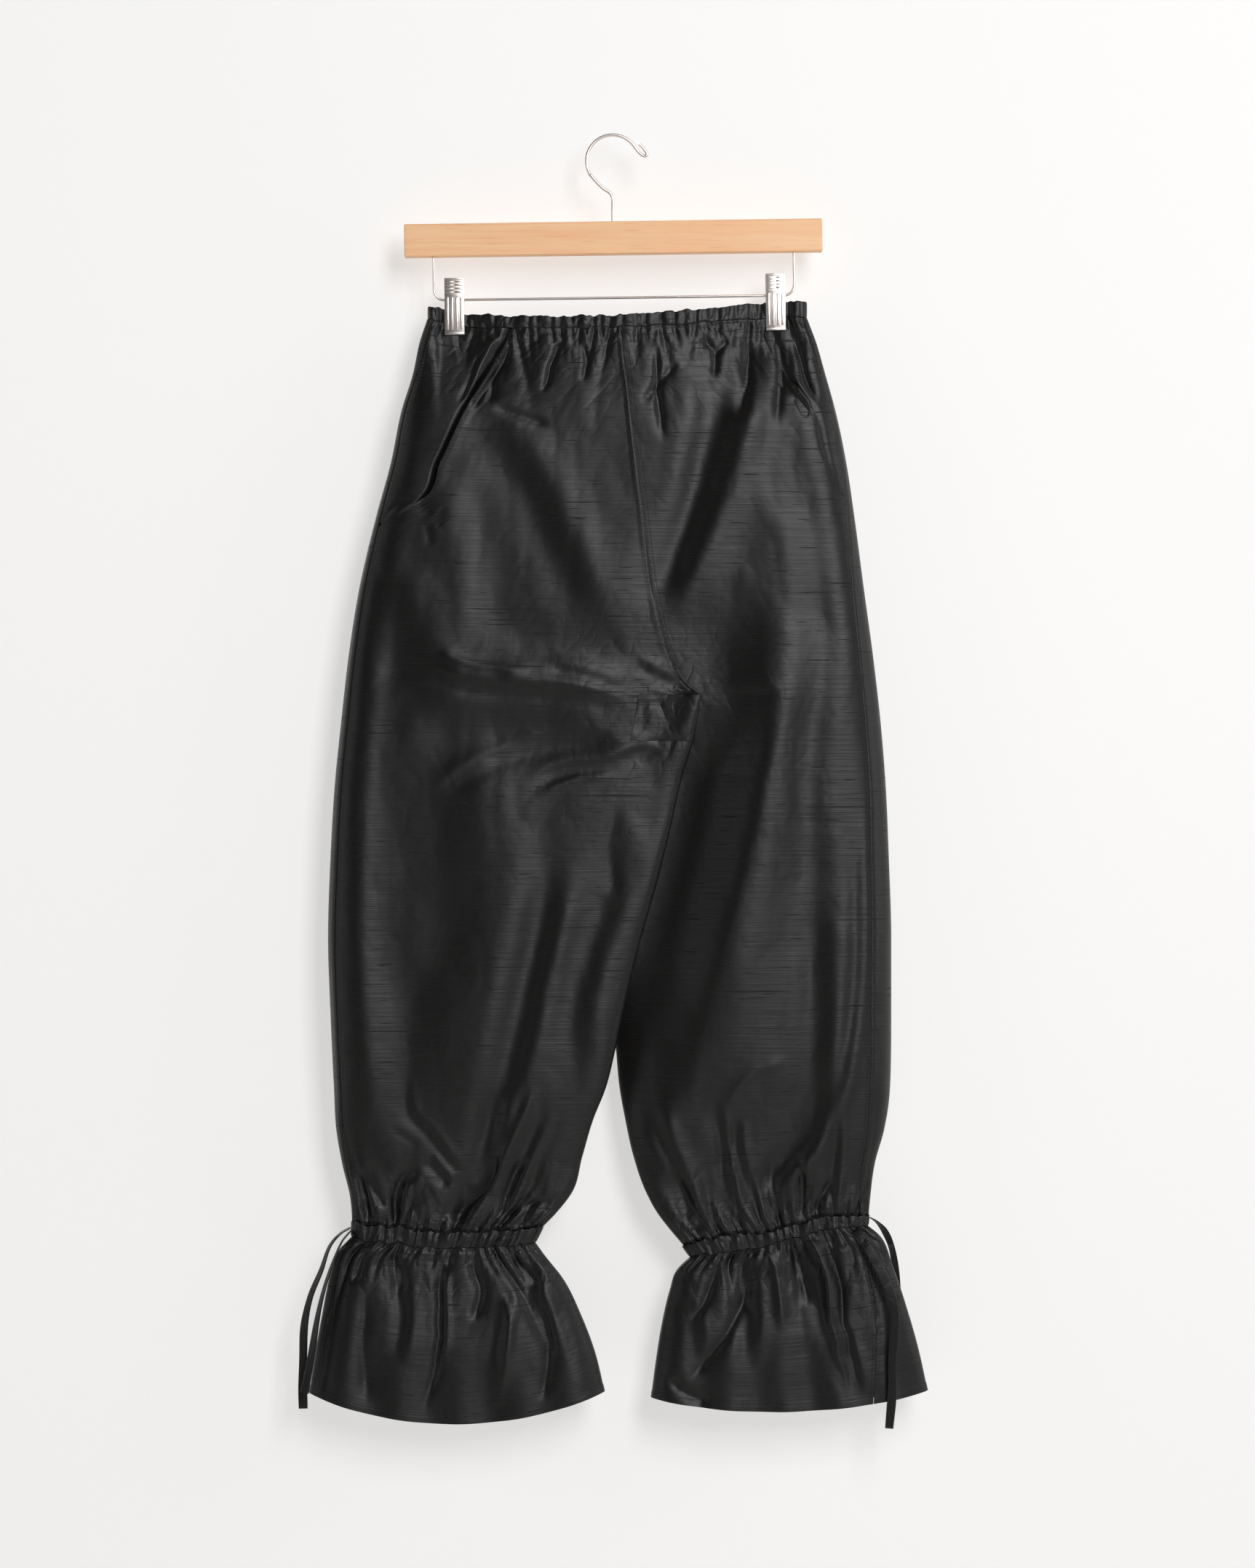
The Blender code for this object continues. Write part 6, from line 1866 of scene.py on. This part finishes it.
CLIP_PAD_ROWS = [36.4, 39.4, 42.4, 45.2]
CLIP_PAD_COLUMNS = [(-7.2, -0.6), (0.6, 7.2)]
CLIP_PAD_HALF_HEIGHT = 0.85
CLIP_PAD_RISE = 0.7
CLIP_RIBS = [-5.8, -1.95, 1.95, 5.8]
CLIP_RIB_HALF_WIDTH = 1.05
CLIP_RIB_SPAN = (4.2, 32)
CLIP_RIB_RISE = 0.75
CLIP_LIP_RISE = 0.6
CLIP_LOWER_LIP = 2.6
CLIP_UPPER_LIP = 1.8
CLIP_STEP_SPAN = (32.6, 34.2)
CLIP_STEP_RISE = 0.35
CLIP_INNER_SKIN = -0.1


def clip_jaw(name, centre, facing):
    """Pressed metal jaw: lips above and below, two columns of pads, four long ribs; facing is -1 or 1."""
    shape = bmesh.new()
    half = CLIP_WIDTH / 2

    def raised(low_x, high_x, low_z, high_z, rise, bevel):
        low, high = (low_x, -CLIP_PLATE - rise, low_z), (high_x, CLIP_INNER_SKIN, high_z)
        pressed_bar(shape, low, high, bevel)

    pressed_bar(shape, (-half, -CLIP_PLATE, 0), (half, 0, CLIP_HEIGHT), 0.35)
    raised(-half, half, 0, CLIP_LOWER_LIP, CLIP_LIP_RISE, 0.5)
    raised(-half, half, CLIP_HEIGHT - CLIP_UPPER_LIP, CLIP_HEIGHT, CLIP_LIP_RISE, 0.5)
    for x in CLIP_RIBS:
        raised(x - CLIP_RIB_HALF_WIDTH, x + CLIP_RIB_HALF_WIDTH, *CLIP_RIB_SPAN, CLIP_RIB_RISE, 0.6)
    raised(-half, half, *CLIP_STEP_SPAN, CLIP_STEP_RISE, 0.3)
    if facing < 0:
        for z in CLIP_PAD_ROWS:
            low_z, high_z = z - CLIP_PAD_HALF_HEIGHT, z + CLIP_PAD_HALF_HEIGHT
            for low_x, high_x in CLIP_PAD_COLUMNS:
                raised(low_x, high_x, low_z, high_z, CLIP_PAD_RISE, 0.55)
    foot = -(RAIL_DROP - BAR_DROP) + CLIP_TOP_ABOVE_RAIL - CLIP_HEIGHT
    for vert in shape.verts:
        x, y, z = vert.co
        depth = y - CLIP_INNER_FACE
        place = tilted([(x * -facing + centre, -facing * depth, z + foot)])[0]
        vert.co = Vector(place) * MM
    bmesh.ops.recalc_face_normals(shape, faces=shape.faces[:])
    return chrome_object(name, shape)


# Barrel's half profile, from its end to its waist
BARREL_END = [(6, 1.5), (6, 2.5), (5.6, 2.9), (2, 2.9), (1.8, 2.6)]
BARREL_SIDES = 24


def clip_barrel(name, centre):
    """Barrel between the jaws with rounded ends."""
    shape = bmesh.new()
    profile = [(-x, radius) for x, radius in BARREL_END] + BARREL_END[::-1]
    low = -(RAIL_DROP - BAR_DROP)
    rings = []
    for x, radius in profile:
        ring = []
        for step in range(BARREL_SIDES):
            angle = 2 * math.pi * step / BARREL_SIDES
            place = tilted([(x + centre, radius * math.cos(angle), radius * math.sin(angle) + low)])[0]
            ring.append(shape.verts.new(Vector(place) * MM))
        rings.append(ring)
    for first, second in zip(rings, rings[1:] + rings[:1]):
        for step in range(BARREL_SIDES):
            after = (step + 1) % BARREL_SIDES
            shape.faces.new((first[step], first[after], second[after], second[step]))
    bmesh.ops.recalc_face_normals(shape, faces=shape.faces[:])
    return chrome_object(name, shape)


CHROME_SHARP_ANGLE = 35


def chrome_object(name, shape):
    mesh = bpy.data.meshes.new(name)
    shape.to_mesh(mesh)
    shape.free()
    mesh.shade_smooth()
    mesh.set_sharp_from_angle(angle=math.radians(CHROME_SHARP_ANGLE))
    mesh.materials.append(CHROME)
    obj = bpy.data.objects.new(name, mesh)
    bpy.context.collection.objects.link(obj)
    return obj


def dress(piece, node):
    """The piece stands for a node of the part and rides on the garment's one body."""
    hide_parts(node)
    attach(piece, "root")
    return piece


def build_hanger():
    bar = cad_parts["hanger_bar"]
    bar.data.materials.clear()
    bar.data.materials.append(WOOD)
    dress(hanger_hook(), "hanger_hook")
    dress(hanger_rail(), "hanger_rail")
    for leg, centre in zip((LEFT, RIGHT), CLIP_X):
        place = centre - BAR_SHIFT
        dress(clip_jaw("jaw_front_" + leg, place, -1), "clip_" + leg + "_front")
        dress(clip_jaw("jaw_back_" + leg, place, 1), "clip_" + leg + "_back")
        dress(clip_barrel("jaw_barrel_" + leg, place), "clip_" + leg + "_barrel")


# Camera, lights and stage

def build_camera():
    data = bpy.data.cameras.new("camera")
    data.sensor_width = SENSOR
    data.lens = SENSOR * CAMERA_DISTANCE / FRAME_HEIGHT
    camera = bpy.data.objects.new("camera", data)
    camera.location = (FRAME_CENTRE[0] * MM, -CAMERA_DISTANCE * MM, FRAME_CENTRE[2] * MM)
    camera.rotation_euler = (math.pi / 2, 0, 0)
    bpy.context.collection.objects.link(camera)
    bpy.context.scene.camera = camera


Lamp = namedtuple("Lamp", "name x y z width height power colour")
LAMPS = [
    Lamp("window", 1.0, -2.85, 0.75, 0.9, 1.7, 70, (0.98, 0.985, 1.0)),
    Lamp("room_left", -3.0, -1.3, -0.2, 1.0, 2.0, 9, (0.97, 0.98, 1.0)),
    Lamp("room_right", 2.9, -0.9, 0.2, 1.0, 2.0, 22, (0.98, 0.985, 1.0)),
    Lamp("room_back", -1.0, 2.6, 0.75, 0.9, 1.7, 50, (0.99, 0.985, 0.98)),
]
LIGHT_TARGET = Vector((0, 0, -0.6))
WALL_Y = 0.04
WALL_COLOUR = (0.42, 0.415, 0.405, 1)
WALL_LIGHT = (1.0, 0.993, 0.984, 1)
WALL_GLOW = 0.585
FLOOR_GLOW = 0.16
FLOOR_Z = -1.9
WALL_TOP = 3
STAGE_REACH = 6


def build_lights():
    for lamp in LAMPS:
        data = bpy.data.lights.new(lamp.name, "AREA")
        data.shape = "RECTANGLE"
        data.size, data.size_y = lamp.width, lamp.height
        data.energy = lamp.power
        data.color = lamp.colour
        obj = bpy.data.objects.new(lamp.name, data)
        obj.location = (lamp.x, lamp.y, lamp.z)
        obj.rotation_euler = (LIGHT_TARGET - obj.location).to_track_quat("-Z", "Y").to_euler()
        bpy.context.collection.objects.link(obj)


def build_world():
    """Pale to the camera, dim for lighting, so the silk keeps its dark folds."""
    world = bpy.data.worlds.new("room")
    bpy.context.scene.world = world
    world.use_nodes = True
    tree = world.node_tree
    back = tree.nodes["Background"]
    back.inputs["Color"].default_value = (1, 0.99, 0.98, 1)
    paths = tree.nodes.new("ShaderNodeLightPath")
    seen = math_node(tree, "MULTIPLY", paths.outputs["Is Camera Ray"], 0.86)
    strength = math_node(tree, "ADD", seen, 0.02)
    tree.links.new(strength, back.inputs["Strength"])


def plane(name, corners, material):
    mesh = bpy.data.meshes.new(name)
    mesh.from_pydata(corners, [], [(0, 1, 2, 3)])
    mesh.materials.append(material)
    obj = bpy.data.objects.new(name, mesh)
    bpy.context.collection.objects.link(obj)
    return obj


def paint(name, roughness, glow):
    """Plain wall or floor paint with a little light of its own."""
    material, tree, shader = new_material(name)
    shader.inputs["Base Color"].default_value = WALL_COLOUR
    shader.inputs["Roughness"].default_value = roughness
    shader.inputs["Emission Color"].default_value = WALL_LIGHT
    shader.inputs["Emission Strength"].default_value = glow
    return material, tree, shader


def build_stage():
    """Wall seen from the front only, and the floor."""
    wall, tree, shader = paint("wall_paint", 0.9, WALL_GLOW)
    clear = tree.nodes.new("ShaderNodeBsdfTransparent")
    side_of = tree.nodes.new("ShaderNodeNewGeometry")
    choose = tree.nodes.new("ShaderNodeMixShader")
    output = tree.nodes["Material Output"]
    tree.links.new(side_of.outputs["Backfacing"], choose.inputs[0])
    tree.links.new(shader.outputs[0], choose.inputs[1])
    tree.links.new(clear.outputs[0], choose.inputs[2])
    tree.links.new(choose.outputs[0], output.inputs[0])
    foot = [(-STAGE_REACH, WALL_Y, FLOOR_Z), (STAGE_REACH, WALL_Y, FLOOR_Z)]
    head = [(STAGE_REACH, WALL_Y, WALL_TOP), (-STAGE_REACH, WALL_Y, WALL_TOP)]
    plane("wall", foot + head, wall).visible_shadow = False
    floor, _, _ = paint("floor_paint", 0.7, FLOOR_GLOW)
    turns = [(-1, -1), (1, -1), (1, 1), (-1, 1)]
    plane("floor", [(x * STAGE_REACH, y * STAGE_REACH, FLOOR_Z) for x, y in turns], floor)


# Flat cuts of the sheets, in metres: width, length and area
Cut = namedtuple("Cut", "width length area")
CUTS = {
    "front_left_leg": Cut(0.36, 0.80, 0.235),
    "front_right_leg": Cut(0.36, 0.80, 0.225),
    "back_left_leg": Cut(0.38, 0.80, 0.250),
    "back_right_leg": Cut(0.38, 0.80, 0.270),
    "pocket_side_left": Cut(0.13, 0.18, 0.0125),
    "pocket_side_right": Cut(0.09, 0.16, 0.0065),
    "crotch_gusset": Cut(0.11, 0.04, 0.0044),
    "ruffle": Cut(0.28, 0.135, 0.033),
    "waistband": Cut(0.66, 0.012, 0.0079),
    "ankle_casing_left": Cut(0.31, 0.013, 0.0040),
    "ankle_casing_right": Cut(0.31, 0.013, 0.0040),
}


def build_cords():
    for name, rows in TIES.items():
        piece, route, length = tie(name, rows)
        dress(piece, name)
        tuple(route[0])
        [tuple(point) for point in route]


def hang(piece, node, cut):
    dress(piece, node)


def hang_sheet(sheet, node, cut):
    hang(cloth_shell(node + "_cloth", sheet), node, CUTS[cut])


def build_trousers():
    hang(waistband(), "waistband", CUTS["waistband"])
    for leg in (LEFT, RIGHT):
        casing = "ankle_casing_" + leg
        for face in (FRONT, BACK):
            node = face + "_" + leg + "_leg"
            hang_sheet(leg_panel(leg, face), node, node)
            hang_sheet(ruffle(leg, face), "ruffle_" + face + "_" + leg, "ruffle")
        node = "pocket_side_" + leg
        hang_sheet(pocket_side(leg), node, node)
        hang(ankle_casing(leg), casing, CUTS[casing])
    hang_sheet(gusset(), "crotch_gusset", "crotch_gusset")


bpy.context.scene.view_settings.view_transform = "Standard"
build_camera()
build_cords()
build_trousers()
build_hanger()
build_world()
build_lights()
build_stage()
